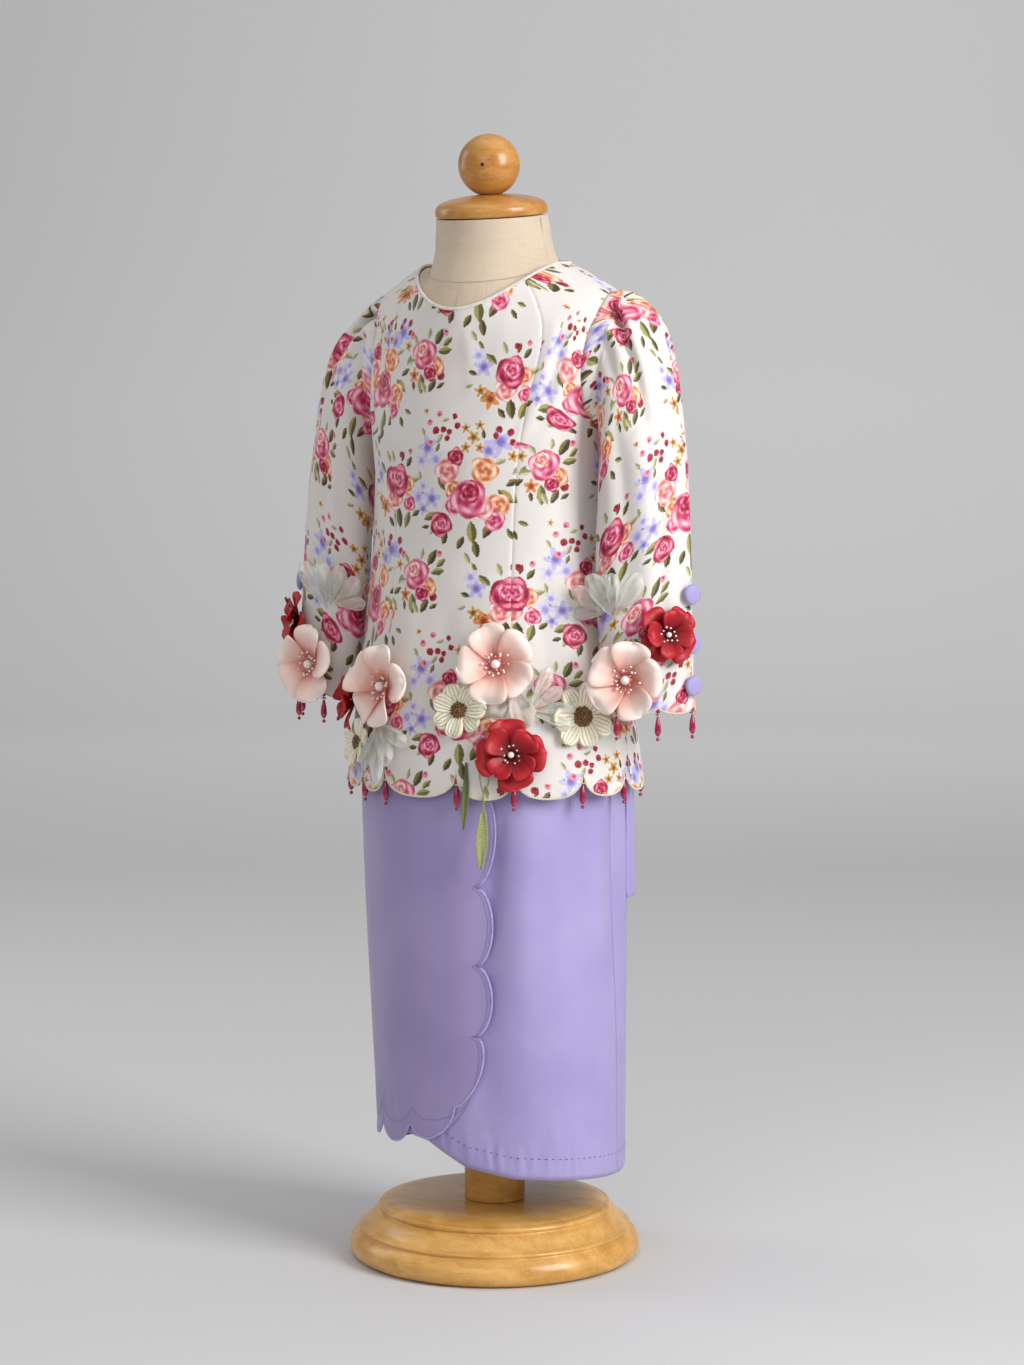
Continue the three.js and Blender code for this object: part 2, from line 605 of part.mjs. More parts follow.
// ---- skirt --------------------------------------------------------------------------------------
function skirtWall(name, from, to, fromAtHem, toAtHem, columns) {
  const rowsDown = SKIRT_RINGS.slice(0, -1).map((row) => row.z);
  const count = rowsDown.length;
  const places = [...rowsDown, 0].map((z, i) =>
    steps(columns).map((u) => {
      const slide = (i / count) ** 1.5;
      const angle = mix(mix(from, fromAtHem, slide), mix(to, toAtHem, slide), u);
      const lookAngle = angle < -100 ? angle + 360 : angle;
      const hem = lookUp(SKIRT_HEM, "angle", "z", lookAngle);
      const height = i === count ? hem : mix(hem, SKIRT_RINGS[0].z, (z - 68) / (SKIRT_RINGS[0].z - 68));
      return { angle, z: height };
    }),
  );
  const grid = places.map((row) => row.map((p) => skirtPoint(p.angle, p.z)));
  const normals = places.map((row) => row.map((p) => skirtNormal(p.angle, p.z)));
  addMesh(name, wallOf(grid, { normals }), "lilac");
}

// Points along a scalloped line: through its meeting points, bulging between them.
function scalloped(rows, bulge, segments) {
  const line = [];
  for (let n = 0; n < rows.length - 1; n += 1) {
    for (let s = 0; s < segments; s += 1) {
      const t = s / segments;
      const arc = scallopArc(t);
      line.push({
        angle: mix(rows[n].angle, rows[n + 1].angle, t) + bulge.angle * arc,
        z: mix(rows[n].z, rows[n + 1].z, t) - bulge.z * arc,
      });
    }
  }
  const end = rows[rows.length - 1];
  return [...line, { angle: end.angle, z: end.z }];
}

function makeOverlap() {
  const edge = scalloped(OVERLAP_EDGE, { angle: OVERLAP_BULGE.edge, z: 0 }, 3);
  const hem = scalloped(OVERLAP_HEM, { angle: 0, z: OVERLAP_BULGE.hem }, 4);
  const top = OVERLAP_EDGE[0];
  const corner = OVERLAP_HEM[0];
  const rows = edge.length - 1;
  const columns = hem.length - 1;
  // Four-sided patch: straight top and side seam, scalloped free edge and hem.
  const place = (i, j, key) => {
    const v = i / rows;
    const u = j / columns;
    const topSide = key === "z" ? top.z : OVERLAP_SIDE;
    const topLine = mix(topSide, top[key], u);
    const sideLine = mix(topSide, corner[key], v);
    const corners = mix(mix(topSide, top[key], u), mix(corner[key], edge[rows][key], u), v);
    return mix(topLine, hem[j][key], v) + mix(sideLine, edge[i][key], u) - corners;
  };
  const places = steps(rows).map((_, i) =>
    steps(columns).map((__, j) => ({ angle: place(i, j, "angle"), z: place(i, j, "z") })),
  );
  const grid = places.map((row) => row.map((p) => skirtPoint(p.angle, p.z)));
  const normals = places.map((row) => row.map((p) => skirtNormal(p.angle, p.z)));
  addMesh("skirt_overlap", wallOf(grid, { normals, lift: LAYER + OVERLAP_EASE }), "lilac");
}

const SASH = { from: 106, to: 121, topZ: 468, endZ: 283, rows: 8, near: 2.2, far: 9 };
function makeSash() {
  const grid = steps(SASH.rows).map((v) =>
    steps(3).map((u) => {
      const angle = mix(SASH.from, SASH.to, u);
      const z = mix(SASH.topZ, SASH.endZ, v);
      const off = mix(SASH.near, SASH.far, v);
      return skirtPoint(angle, z).addScaledVector(skirtNormal(angle, z), off);
    }),
  );
  addMesh("sash_tail", wallOf(grid), "lilac");
}

function makeSkirt() {
  skirtWall("skirt_back", UNDER_PANEL.to + 0.2, 262, UNDER_PANEL.toAtHem + 0.2, 262, 18);
  skirtWall("skirt_under_front", -97.8, UNDER_PANEL.to, -97.8, UNDER_PANEL.toAtHem, 20);
  makeOverlap();
  makeSash();
}

// ---- trims --------------------------------------------------------------------------------------
// A frame that stands on a surface: its z axis points away from the cloth.
function standingFrame(point, away) {
  const up = Math.abs(away.z) > 0.9 ? vector(0, 1, 0) : vector(0, 0, 1);
  const across = up.clone().cross(away).normalize();
  const along = away.clone().cross(across);
  return new THREE.Matrix4().makeBasis(across, along, away).setPosition(point);
}

// A cupped bloom with rounded petals, one closed body, its foot flat on the cloth.
function bloomGeometry({ radius, petals, cup }) {
  const sectors = petals * 4;
  const reach = (j) => 0.8 + 0.2 * Math.pow(Math.abs(Math.sin((j / sectors) * Math.PI * petals)), 0.6);
  const rings = [
    { out: 1, high: cup + TRIM_LAYER, lobed: true },
    { out: 0.55, high: cup * 0.45 + TRIM_LAYER + 1.2, lobed: true },
    { out: 0.2, high: TRIM_LAYER + 3.4, lobed: false },
    { out: 0.1, high: 0, lobed: false },
    { out: 0.55, high: cup * 0.45, lobed: true },
  ];
  const ringPoints = rings.map((row) =>
    steps(sectors).slice(0, sectors).map((t, j) => {
      const r = radius * row.out * (row.lobed ? reach(j) : 1);
      return vector(r * Math.cos(t * 2 * Math.PI), r * Math.sin(t * 2 * Math.PI), row.high);
    }),
  );
  const [rim, upper, eye, foot, under] = ringPoints;
  return solidOfRings([eye, upper, rim, under, foot]);
}

function seat(name, geometry, color, point, away) {
  geometry.applyMatrix4(standingFrame(point, away));
  addMesh(name, geometry, color);
}

function makeHemBlooms() {
  for (const bloom of HEM_BLOOMS) {
    const ring = tunicRingAt(bloom.angle, bloom.z);
    const away = tunicNormal(bloom.angle, ring);
    const point = tunicPoint(bloom.angle, ring).addScaledVector(away, CLOTH / 2 + SEAM_GAP);
    seat(bloom.name, bloomGeometry(bloom), bloom.color, point, away);
  }
}

// Share of its full half width that a strip has at v from its top: a stem, then a leaf shape.
function stripWidth(v, stem) {
  const leaf = Math.max((v - stem) / (1 - stem), 0);
  return 0.35 + 0.65 * Math.sin(Math.PI * (0.05 + 0.83 * leaf));
}

// A narrow strip hanging over the tunic, widest in its middle and leaning off it.
function stripGrid(strip, rows, columns) {
  return steps(rows).map((v) =>
    steps(columns).map((u) => {
      const z = mix(strip.topZ, strip.tipZ, v);
      const ring = Math.min(tunicRingAt(strip.angle, z), HEM_RING + 0.9);
      const away = tunicNormal(strip.angle, ring);
      away.z = 0;
      away.normalize();
      const across = vector(-away.y, away.x, 0);
      const half = strip.spread * stripWidth(v, strip.stem || 0);
      const off = CLOTH / 2 + TRIM_LAYER / 2 + SEAM_GAP + 0.35 + strip.lean * v * v;
      const bend = 0.02 * (half * (2 * u - 1)) ** 2;
      const base = tunicPoint(strip.angle, ring);
      base.z = z;
      return base.addScaledVector(across, half * (2 * u - 1)).addScaledVector(away, off + bend);
    }),
  );
}

function makeStrips() {
  for (const net of HEM_NETS) {
    addMesh(net.name, wallOf(stripGrid(net, 5, 5), { thickness: TRIM_LAYER }), "net");
  }
  for (const leaf of RIBBON_LEAVES) {
    addMesh(leaf.name, wallOf(stripGrid(leaf, 5, 2), { thickness: TRIM_LAYER }), "olive");
  }
}

function sleeveSeat(turn, ring) {
  const point = sleevePoint(turn, ring);
  const across = sleevePoint(turn + 4, ring).sub(sleevePoint(turn - 4, ring));
  const down = sleevePoint(turn, ring + 0.2).sub(sleevePoint(turn, ring - 0.2));
  return { point, away: down.cross(across).normalize() };
}

function onBothCuffs(name, geometry, color, point, away) {
  seat(name + "_left", geometry.clone(), color, point, away);
  const flip = (v) => vector(-v.x, v.y, v.z);
  seat(name + "_right", geometry, color, flip(point), flip(away));
}

function makeCuffTrims() {
  for (const bloom of [...CUFF_BLOOMS, { ...CUFF_NET, color: "net" }]) {
    const { point, away } = sleeveSeat(bloom.turn, bloom.ring);
    point.addScaledVector(away, CLOTH / 2 + SEAM_GAP + 0.3);
    onBothCuffs(bloom.name, bloomGeometry(bloom), bloom.color, point, away);
  }
  CUFF_BUTTONS.rings.forEach((ring, n) => {
    const { point } = sleeveSeat(CUFF_BUTTONS.turn, ring);
    const away = vector(Math.cos(radians(CUFF_BUTTONS.facing)), Math.sin(radians(CUFF_BUTTONS.facing)), 0);
    point.addScaledVector(away, CLOTH / 2 + SEAM_GAP + 0.6);
    const { radius, height } = CUFF_BUTTONS;
    const profile = [
      { radius: 0, z: 0 },
      { radius: 2.5, z: 0 },
      { radius: radius * 0.85, z: height * 0.32 },
      { radius, z: height * 0.55 },
      { radius: radius * 0.8, z: height * 0.85 },
      { radius: 0, z: height },
    ];
    onBothCuffs("cuff_button_" + (n + 1), turned(profile, 10), "lilac", point, away);
  });
}

// ---- bead drops ---------------------------------------------------------------------------------
function dropGeometry(top) {
  const profile = DROP_PROFILE.map((p) => ({ radius: p.radius, z: -p.down })).reverse();
  return turned(profile, DROP_SIDES).translate(top.x, top.y, top.z);
}

function hemDropGap(n) {
  const count = TUNIC_NOTCHES.length;
  const before = TUNIC_NOTCHES[(n + count - 1) % count];
  const after = TUNIC_NOTCHES[(n + 1) % count];
  const span = (from, to) => (to - from + 360) % 360;
  const narrowest = Math.min(span(before, TUNIC_NOTCHES[n]), span(TUNIC_NOTCHES[n], after));
  return DROP_GAP.wide + (DROP_GAP.wideAngle - narrowest) * DROP_GAP.perDegree;
}

function makeDrops() {
  TUNIC_NOTCHES.forEach((angle, n) => {
    const top = tunicPoint(angle, HEM_RING);
    top.z -= hemDropGap(n);
    addMesh("hem_drop_" + (n + 1), dropGeometry(top), "crimson", "gloss");
  });
  const hem = sleeveGrid().at(-1);
  CUFF_DROP_SCALLOPS.forEach((scallop, n) => {
    const top = hem[(scallop * SLEEVE_COLUMNS) / SLEEVE_HEM_SCALLOPS].clone();
    top.z -= DROP_GAP.cuff;
    addMesh("cuff_drop_left_" + (n + 1), dropGeometry(top), "crimson", "gloss");
    addMesh("cuff_drop_right_" + (n + 1), dropGeometry(vector(-top.x, top.y, top.z)), "crimson", "gloss");
  });
}

makeStand();
makeForm();
makeNeckCap();
makeTunic();
makeSleeves();
makeSkirt();
makeHemBlooms();
makeStrips();
makeCuffTrims();
makeDrops();

export default ensemble;
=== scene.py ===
# A child's kebaya ensemble on a limbless dress form: printed tunic, puffed sleeves, lilac wrap skirt,
# fabric blooms, organza, bead drops, and the maple stand it is shown on.
# Sizes in this file are millimetres unless a name says otherwise; meshes are written in metres.
import math
import random

import bmesh
import bpy
import numpy as np
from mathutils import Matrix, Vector


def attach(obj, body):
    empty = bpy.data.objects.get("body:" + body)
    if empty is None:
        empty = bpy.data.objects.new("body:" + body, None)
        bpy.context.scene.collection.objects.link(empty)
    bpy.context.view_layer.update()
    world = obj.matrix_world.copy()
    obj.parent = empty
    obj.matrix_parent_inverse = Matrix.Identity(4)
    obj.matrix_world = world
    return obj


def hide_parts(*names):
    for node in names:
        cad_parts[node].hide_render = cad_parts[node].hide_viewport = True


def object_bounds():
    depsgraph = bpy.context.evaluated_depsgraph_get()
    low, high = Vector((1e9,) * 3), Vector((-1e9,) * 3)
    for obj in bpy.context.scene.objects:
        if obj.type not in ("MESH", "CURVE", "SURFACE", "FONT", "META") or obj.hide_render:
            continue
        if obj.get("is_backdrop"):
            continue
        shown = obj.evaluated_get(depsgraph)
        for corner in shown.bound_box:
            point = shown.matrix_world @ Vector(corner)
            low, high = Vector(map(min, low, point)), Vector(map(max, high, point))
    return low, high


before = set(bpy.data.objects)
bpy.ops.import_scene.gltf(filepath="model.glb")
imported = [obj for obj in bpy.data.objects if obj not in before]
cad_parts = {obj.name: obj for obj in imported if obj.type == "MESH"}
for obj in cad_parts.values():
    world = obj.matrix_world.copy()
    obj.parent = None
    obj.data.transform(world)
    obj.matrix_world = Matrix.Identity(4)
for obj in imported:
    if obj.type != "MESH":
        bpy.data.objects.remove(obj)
cad_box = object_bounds()

MM = 0.001
CLOTH_WALL = 0.8
LAYER = 1.5
BODY = "root"
SHEET_FILL = 0.32  # the least share of its strip that a fan of cloth fills
rng = random.Random(41)

# ---- sections of the garment ------------------------------------------------------------------
# side, front and back heights, half width, front depth, back depth, centre of the ring front to back
TUNIC_RINGS = np.array([
    (763, 729, 768, 57, 67, 46, 4), (753, 707, 756, 78, 72, 53, 8), (739, 688, 739, 97, 74, 60, 10),
    (717, 667, 713, 99, 75, 67, 8), (690, 650, 686, 98.5, 75, 72, 5), (664, 634, 658, 97, 75, 75, 2),
    (640, 620, 636, 96, 75, 75, 0), (600, 594, 600, 95, 74, 74, 0), (560, 560, 560, 95, 74, 74, 0),
    (520, 520, 520, 98, 77, 77, 0), (480, 480, 480, 103, 82, 82, 0), (445, 445, 445, 108, 87, 87, 0),
    (415, 413, 413, 112.5, 92, 91, 0), (386, 385, 384, 116, 96, 95, 0), (368, 367, 366, 118, 98, 97, 0),
], float)
PRINCESS = np.array([54, 48, 42, 40, 37, 36, 35, 33, 32, 31, 31, 31.5, 32, 32, 32], float)
TUNIC_NOTCHES = [-37, -22.5, 10, 32, 60.5, 85, 113, 140, 168, 196, 223, 250, 277, 304]
HEM_RING = 13
ARMHOLE_TOP, ARMHOLE_BOTTOM, ARMHOLE_HALF = 2, 6, 24.5
# height, half width, front depth, back depth, sideways centre
SKIRT_RINGS = np.array([
    (505, 94.2, 73.4, 73.4, 0), (470, 98.5, 77.5, 77.5, 0), (430, 101, 81.5, 81, 0),
    (390, 103, 86, 84, 0), (350, 103.5, 88.5, 87, 0), (290, 102.5, 86, 90, 0.5),
    (230, 101, 82.5, 94, 1.5), (170, 99, 79.5, 97.5, 3), (115, 97, 77.5, 99.5, 4), (68, 96, 76.5, 100, 4.5),
], float)
SKIRT_HEM = [(-100, 100), (-60, 112), (-12, 101), (8, 84), (31, 77), (71, 73.5), (105, 70), (180, 70), (262, 78)]
OVERLAP_EDGE = [(24, 505), (23, 440), (20, 371), (16.9, 300), (16, 240), (14.4, 186), (4, 131)]
OVERLAP_HEM = [(-98, 112), (-73, 113), (-45.5, 113), (-18.2, 116), (4, 131)]
OVERLAP_SIDE = -98
# outermost point, innermost point, half depth
SLEEVE_RINGS = np.array([
    (106, 19, 741, 99, 2, 634, 35), (119, 18, 732, 100, -2, 626, 38), (132, 14, 716, 101, -6, 616, 39),
    (142.5, 10, 692, 101.3, -10, 606, 37), (150.5, 6, 662, 101.3, -15, 592, 33),
    (157.5, 3, 628, 101.3, -19, 574, 29), (163, 0, 590, 101.3, -22.5, 552, 26),
    (166, -1.5, 545, 101.8, -23.5, 522, 25), (167.5, -3, 497, 104.5, -24, 486, 25.5),
    (169, -4, 458, 109, -24.5, 454, 26.5), (170.5, -5, 436, 112.5, -25, 436, 27),
], float)
# direction round the sleeve, depth, spread, first and last ring
SLEEVE_FOLDS = [
    (-55, -5.5, 6, 0.3, 4.4), (-43, 3.6, 8, 0.4, 5), (-15, -2.8, 8, 0, 4.5), (14, 2.6, 11, 0, 5),
    (42, -2.8, 9, 0, 4.4), (66, 2.6, 11, 0, 5), (-95, -2.6, 12, 3, 9), (-68, 2.4, 12, 4, 10), (-22, -1.8, 12, 4, 10),
    (95, -2.4, 14, 3, 9), (-33, -2.0, 6, 0.2, 3.0), (0, 1.6, 6, 0, 3.2), (28, -1.6, 5, 0, 2.8),
    (-80, -2.2, 6, 0.4, 3.4), (120, 1.8, 10, 0, 4), (-48, -1.6, 8, 5, 9.6), (18, -1.3, 9, 5.5, 10),
    (60, 1.2, 9, 5, 9.5), (150, 1.2, 9, 4, 9),
]
# pleats of the sleeve head: direction, depth, spread, ring of the middle, reach in rings
HEAD_PLEATS = [
    (-47, -15, 5.5, 0.42, 0.7), (-60, 3.4, 4.5, 0.5, 0.8), (-34, 4.4, 5, 0.35, 0.6), (-18, -3.2, 4.5, 0.4, 0.6),
    (-4, 2.2, 5, 0.5, 0.7), (12, -3.0, 5, 0.45, 0.7), (26, 2.4, 5, 0.4, 0.6), (42, -4.2, 5.5, 0.5, 0.7),
    (56, 2.2, 5, 0.5, 0.7), (-74, -2.2, 5, 0.6, 0.8),
]
SLEEVE_HEM_SCALLOPS, SLEEVE_HEM_DEPTH = 6, 5
# Soft drags of the tunic: direction, first and last ring, depth, spread in degrees, lean in degrees a ring
TUNIC_DRAGS = [
    (-20, 8.2, 12.6, 2.25, 7, 1.2), (2, 9, 12.9, -1.8, 6, -0.4), (22, 8.6, 12.8, 1.95, 6, 0.5),
    (44, 8.2, 12.7, -1.95, 7, 0.8), (66, 7.4, 12.6, 2.25, 8, 0.4), (-48, 7.8, 12.6, -2.1, 8, -0.7),
    (-70, 6.8, 11.8, 2.4, 8, -0.5), (-30, 3.2, 7.4, -1.15, 9, 2.4), (40, 3.4, 7.2, -1.03, 8, -2.2),
    (12, 5.6, 8.4, 0.8, 12, 0), (62, 3, 6.6, 1.26, 6, -1.5), (-62, 3.2, 6.8, 1.38, 7, 1.6),
    (108, 6.8, 12.4, -2.1, 8, 0.4), (132, 7.8, 12.8, 2.4, 9, 0.6), (158, 8.6, 12.9, -1.95, 8, 0.2),
    (184, 7.9, 12.8, 2.25, 9, -0.3), (208, 8.4, 12.7, -2.1, 8, -0.5), (236, 7.6, 12.6, 2.25, 9, -0.6),
    (258, 7, 12.2, -1.8, 8, -0.3), (150, 3, 7.2, 1.15, 10, 1.6), (205, 3.2, 7, 1.03, 11, -1.4),
    (58, 2, 5.6, 2.99, 3.4, -2.6), (49, 1.6, 6.4, 2.07, 4, -3), (66, 3.6, 7.4, 2.53, 3.6, -1.8),
    (-58, 2.2, 5.8, 2.76, 3.6, 2.4), (-66, 3.4, 7, 2.3, 4, 1.8), (8, 0.4, 3.4, 1.03, 4, 0.5),
    (-14, 0.4, 3.8, 1.03, 5, -1), (122, 2.4, 6, 2.07, 4, 2.2), (236, 2.6, 6.2, 2.18, 4, -2.2),
]
# Skirt drags: direction at the top, height of top and end, depth, spread, lean over the whole length
SKIRT_DRAGS = [
    (22, 380, 96, -4.6, 7.5, -6), (29, 384, 250, -2.8, 4.5, -7), (42, 384, 200, 2.2, 7, -8),
    (38, 300, 90, 1.7, 9, -2), (58, 376, 190, -1.7, 8, 3), (74, 372, 120, 1.87, 7, 2), (88, 380, 200, -2.38, 6, 1),
    (104, 380, 110, 2.38, 8, -2), (124, 370, 150, -2.55, 8, -3), (146, 376, 96, 2.89, 9, -2),
    (168, 380, 160, -2.55, 8, 1), (192, 376, 100, 2.72, 9, 2), (214, 370, 168, -2.55, 8, 3),
    (238, 376, 110, 2.55, 8, 3), (-30, 372, 190, 1.53, 9, 2), (-58, 376, 170, -1.7, 9, -2),
    (-4, 366, 230, -0.8, 6, 4), (-80, 376, 150, 1.87, 7, 1), (50, 130, 72, 1, 4, 1), (20, 118, 76, -0.8, 4, 0),
    (70, 126, 72, -0.9, 4, 0),
]


# ---- surfaces ---------------------------------------------------------------------------------
def smooth_rows(table, place):
    """Rows of a table at fractional row numbers, on one smooth curve."""
    last = len(table) - 1
    base = np.clip(np.floor(place).astype(int), 0, last - 1)
    t = (place - base)[..., None]
    p0, p1, p2, p3 = (table[np.clip(base + step, 0, last)] for step in (-1, 0, 1, 2))
    cubic = (2 * p0 - 5 * p1 + 4 * p2 - p3) * t**2 + (3 * p1 - p0 - 3 * p2 + p3) * t**3
    return 0.5 * (2 * p1 + (p2 - p0) * t + cubic)


def drag(away, spread):
    """One soft fold: 1 on its line, fading to both sides."""
    return np.exp(-((away / spread) ** 2))


def sin_cos(degrees):
    return np.sin(np.radians(degrees)), np.cos(np.radians(degrees))


def paired(a, b):
    return np.broadcast_arrays(np.asarray(a, float), np.asarray(b, float))


def turn_gap(a, b):
    return (a - b + 540) % 360 - 180


def tunic_plain(angle, ring):
    angle, ring = paired(angle, ring)
    side_z, front_z, back_z, width, front, back, centre = np.moveaxis(smooth_rows(TUNIC_RINGS, ring), -1, 0)
    s, c = sin_cos(angle)
    depth = np.where(c > 0, front, back)
    end_z = np.where(c > 0, front_z, back_z)
    return np.stack([width * s, centre - depth * c, side_z + (end_z - side_z) * c * c], axis=-1)


def skirt_plain(angle, z):
    angle, z = paired(angle, z)
    place = np.interp(-z, -SKIRT_RINGS[:, 0], np.arange(len(SKIRT_RINGS)))
    _, width, front, back, centre = np.moveaxis(smooth_rows(SKIRT_RINGS, place), -1, 0)
    s, c = sin_cos(angle)
    return np.stack([centre + width * s, -np.where(c > 0, front, back) * c, z], axis=-1)


def unit(v):
    return v / np.maximum(np.linalg.norm(v, axis=-1, keepdims=True), 1e-9)


def surface_normal(surface, u, v, step_u=1.0, step_v=0.25):
    across = surface(u + step_u, v) - surface(u - step_u, v)
    down = surface(u, v + step_v) - surface(u, v - step_v)
    return unit(np.cross(down, across))


def tunic_normal(angle, ring):
    return surface_normal(tunic_plain, angle, np.clip(ring, 0.25, len(TUNIC_RINGS) - 1.25))


def skirt_normal(angle, z):
    return surface_normal(lambda a, down: skirt_plain(a, -down), angle, -z, 1.0, 8.0)


def tunic_drape(angle, ring):
    """How far the folds lift the tunic off its plain form."""
    total = np.zeros(np.broadcast(angle, ring).shape)
    for start, first, last, depth, spread, lean in TUNIC_DRAGS:
        along = np.clip((ring - first) / (last - first), 0, 1)
        fold = drag(turn_gap(angle, start + lean * (ring - first)), spread)
        total = total + depth * fold * np.sin(np.pi * along**0.8)
    return total + 0.25 * np.sin(angle * 0.31 + ring * 2.1) * np.sin(ring * 1.7 + angle * 0.07)


def skirt_drape(angle, z):
    total = np.zeros(np.broadcast(angle, z).shape)
    for start, top, end, depth, spread, lean in SKIRT_DRAGS:
        along = np.clip((top - z) / (top - end), 0, 1)
        fold = drag(turn_gap(angle, start + lean * along), spread)
        total = total + depth * fold * np.sin(np.pi * along**0.7)
    # the sewn hem puckers a little, unevenly
    pucker = np.sin(angle * 0.83 + 1.1 * np.sin(angle * 0.31)) + 0.6 * np.sin(angle * 1.31 + 2.0)
    return total + 0.42 * pucker * drag(z - skirt_hem(angle) - 13, 9)


def skirt_hem(angle):
    table = np.array(SKIRT_HEM, float)
    look = np.where(np.asarray(angle) < -100, np.asarray(angle) + 360, angle)
    return np.interp(look, table[:, 0], table[:, 1])


def tunic_point(angle, ring, off=0.0):
    lift = tunic_drape(angle, ring) + off
    return tunic_plain(angle, ring) + tunic_normal(angle, ring) * lift[..., None]


def skirt_point(angle, z, off=0.0):
    lift = skirt_drape(angle, z) + off
    return skirt_plain(angle, z) + skirt_normal(angle, z) * lift[..., None]


def sleeve_plain(turn, ring):
    turn, ring = paired(turn, ring)
    row = smooth_rows(SLEEVE_RINGS, ring)
    out, into, depth = row[..., 0:3], row[..., 3:6], row[..., 6]
    middle, arm = (out + into) / 2, (out - into) / 2
    s, c = sin_cos(turn)
    point = middle + arm * c[..., None]
    point[..., 1] += depth * s
    fold = np.zeros(turn.shape)
    for start, deep, spread, first, last in SLEEVE_FOLDS:
        along = np.clip((ring - first) / (last - first), 0, 1)
        fold += deep * drag(turn_gap(turn, start), spread) * np.sin(np.pi * np.sqrt(along))
    for start, deep, spread, centre, reach in HEAD_PLEATS:
        fold += deep * drag(turn_gap(turn, start), spread) * drag(ring - centre, reach)
    axis = np.stack([middle[..., 0], middle[..., 1], point[..., 2]], axis=-1)
    return point + unit(point - axis) * fold[..., None]


def scallop_arc(t):
    return np.maximum(4 * t * (1 - t), 0) ** 0.6


def tunic_scallop(angle):
    notches = np.array(TUNIC_NOTCHES + [TUNIC_NOTCHES[0] + 360], float)
    wrapped = (np.asarray(angle) - notches[0]) % 360 + notches[0]
    slot = np.clip(np.searchsorted(notches, wrapped + 1e-6) - 1, 0, len(notches) - 2)
    return scallop_arc((wrapped - notches[slot]) / (notches[slot + 1] - notches[slot]))


# ---- meshes -----------------------------------------------------------------------------------
def put_in_scene(name, data):
    thing = bpy.data.objects.new(name, data)
    bpy.context.scene.collection.objects.link(thing)
    return thing


def smooth_shaded(mesh):
    mesh.polygons.foreach_set("use_smooth", [True] * len(mesh.polygons))


def new_piece(name, points, faces, material, slot, uv=None, faces_material=None, extra=()):
    """One mesh object in metres; uv holds a pair of millimetres of flat cloth for every point."""
    mesh = bpy.data.meshes.new(name)
    points = np.asarray(points, float) * MM
    mesh.from_pydata(points.tolist(), [], [tuple(int(i) for i in f) for f in faces])
    smooth_shaded(mesh)
    for finish in (material, *extra):
        mesh.materials.append(finish)
    if faces_material is not None:
        mesh.polygons.foreach_set("material_index", list(map(int, faces_material)))
    if uv is not None:
        layer = mesh.uv_layers.new(name="cloth")
        corners = np.empty(len(mesh.loops), int)
        mesh.loops.foreach_get("vertex_index", corners)
        layer.data.foreach_set("uv", (np.asarray(uv, float) * MM)[corners].ravel())
    mesh.update()
    piece = put_in_scene(name, mesh)
    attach(piece, BODY)
    return piece


def grid_normals(grid, closed=False):
    if closed:
        across = np.roll(grid, -1, axis=1) - np.roll(grid, 1, axis=1)
    else:
        across = np.gradient(grid, axis=1)
    return unit(np.cross(np.gradient(grid, axis=0), across))


def shell_parts(grid, thickness=CLOTH_WALL, closed=False):
    """Points and outward faces of a thin closed wall round a grid of middle points."""
    rows, columns = grid.shape[:2]
    half_wall = grid_normals(grid, closed) * thickness / 2
    points = np.concatenate([(grid + half_wall).reshape(-1, 3), (grid - half_wall).reshape(-1, 3)])
    faces = []
    n = rows * columns
    for j in range(columns if closed else columns - 1):
        k = (j + 1) % columns
        for i in range(rows - 1):
            a, b, c, d = i * columns + j, (i + 1) * columns + j, (i + 1) * columns + k, i * columns + k
            faces.append((a, b, c, d))
            faces.append((a + n, d + n, c + n, b + n))
        low = (rows - 1) * columns
        faces.append((j, k, k + n, j + n))
        faces.append((low + j, low + j + n, low + k + n, low + k))
    if not closed:
        last = columns - 1
        for i in range(rows - 1):
            a, b = i * columns, (i + 1) * columns
            faces.append((a, a + n, b + n, b))
            faces.append((a + last, b + last, b + last + n, a + last + n))
    return points, faces


def spans(grid, axis):
    """Lengths of the steps of a grid along one axis."""
    return np.linalg.norm(np.diff(grid, axis=axis), axis=2)


def cloth_uv(grid, anchor_column=None, level_row=None):
    """Flat place of every grid point: along its row from one column, down its column from one row."""
    rows, columns = grid.shape[:2]
    anchor = columns // 2 if anchor_column is None else anchor_column
    level = rows // 2 if level_row is None else level_row
    along = np.pad(np.cumsum(spans(grid, 1), axis=1), ((0, 0), (1, 0)))
    down = np.pad(np.cumsum(spans(grid, 0), axis=0), ((1, 0), (0, 0)))
    return np.stack([along - along[:, anchor : anchor + 1], -(down - down[level])], axis=-1)


def flat_size(grid):
    """Width, length and area of the flat cut of a cloth grid, in metres."""
    width = spans(grid, 1).sum(axis=1).max() * MM
    length = spans(grid, 0).sum(axis=0).max() * MM
    a, b, c, d = grid[:-1, :-1], grid[1:, :-1], grid[1:, 1:], grid[:-1, 1:]
    halves = (np.linalg.norm(np.cross(p, q), axis=2) for p, q in ((b - a, c - a), (c - a, d - a)))
    area = min(sum(halves).sum() / 2 * MM * MM, width * length)
    # a fan is cut from a strip no wider than its own area can fill
    return min(width, area / (SHEET_FILL * length)), length, area


def state_cut(grid, node):
    """Hides the solid that a cloth replaces and works out its flat cut on its grid; nothing further is done with the
    cut.
    """
    if node:
        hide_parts(node)
    width, length, area = flat_size(grid)


def cloth_piece(name, grid, uv, material, slot, node, thickness=CLOTH_WALL, offset=(0, 0)):
    points, faces = shell_parts(grid, thickness)
    flat = uv.reshape(-1, 2) + np.array(offset)
    piece = new_piece(name, points, faces, material, slot, np.concatenate([flat, flat]))
    state_cut(grid, node)
    return piece


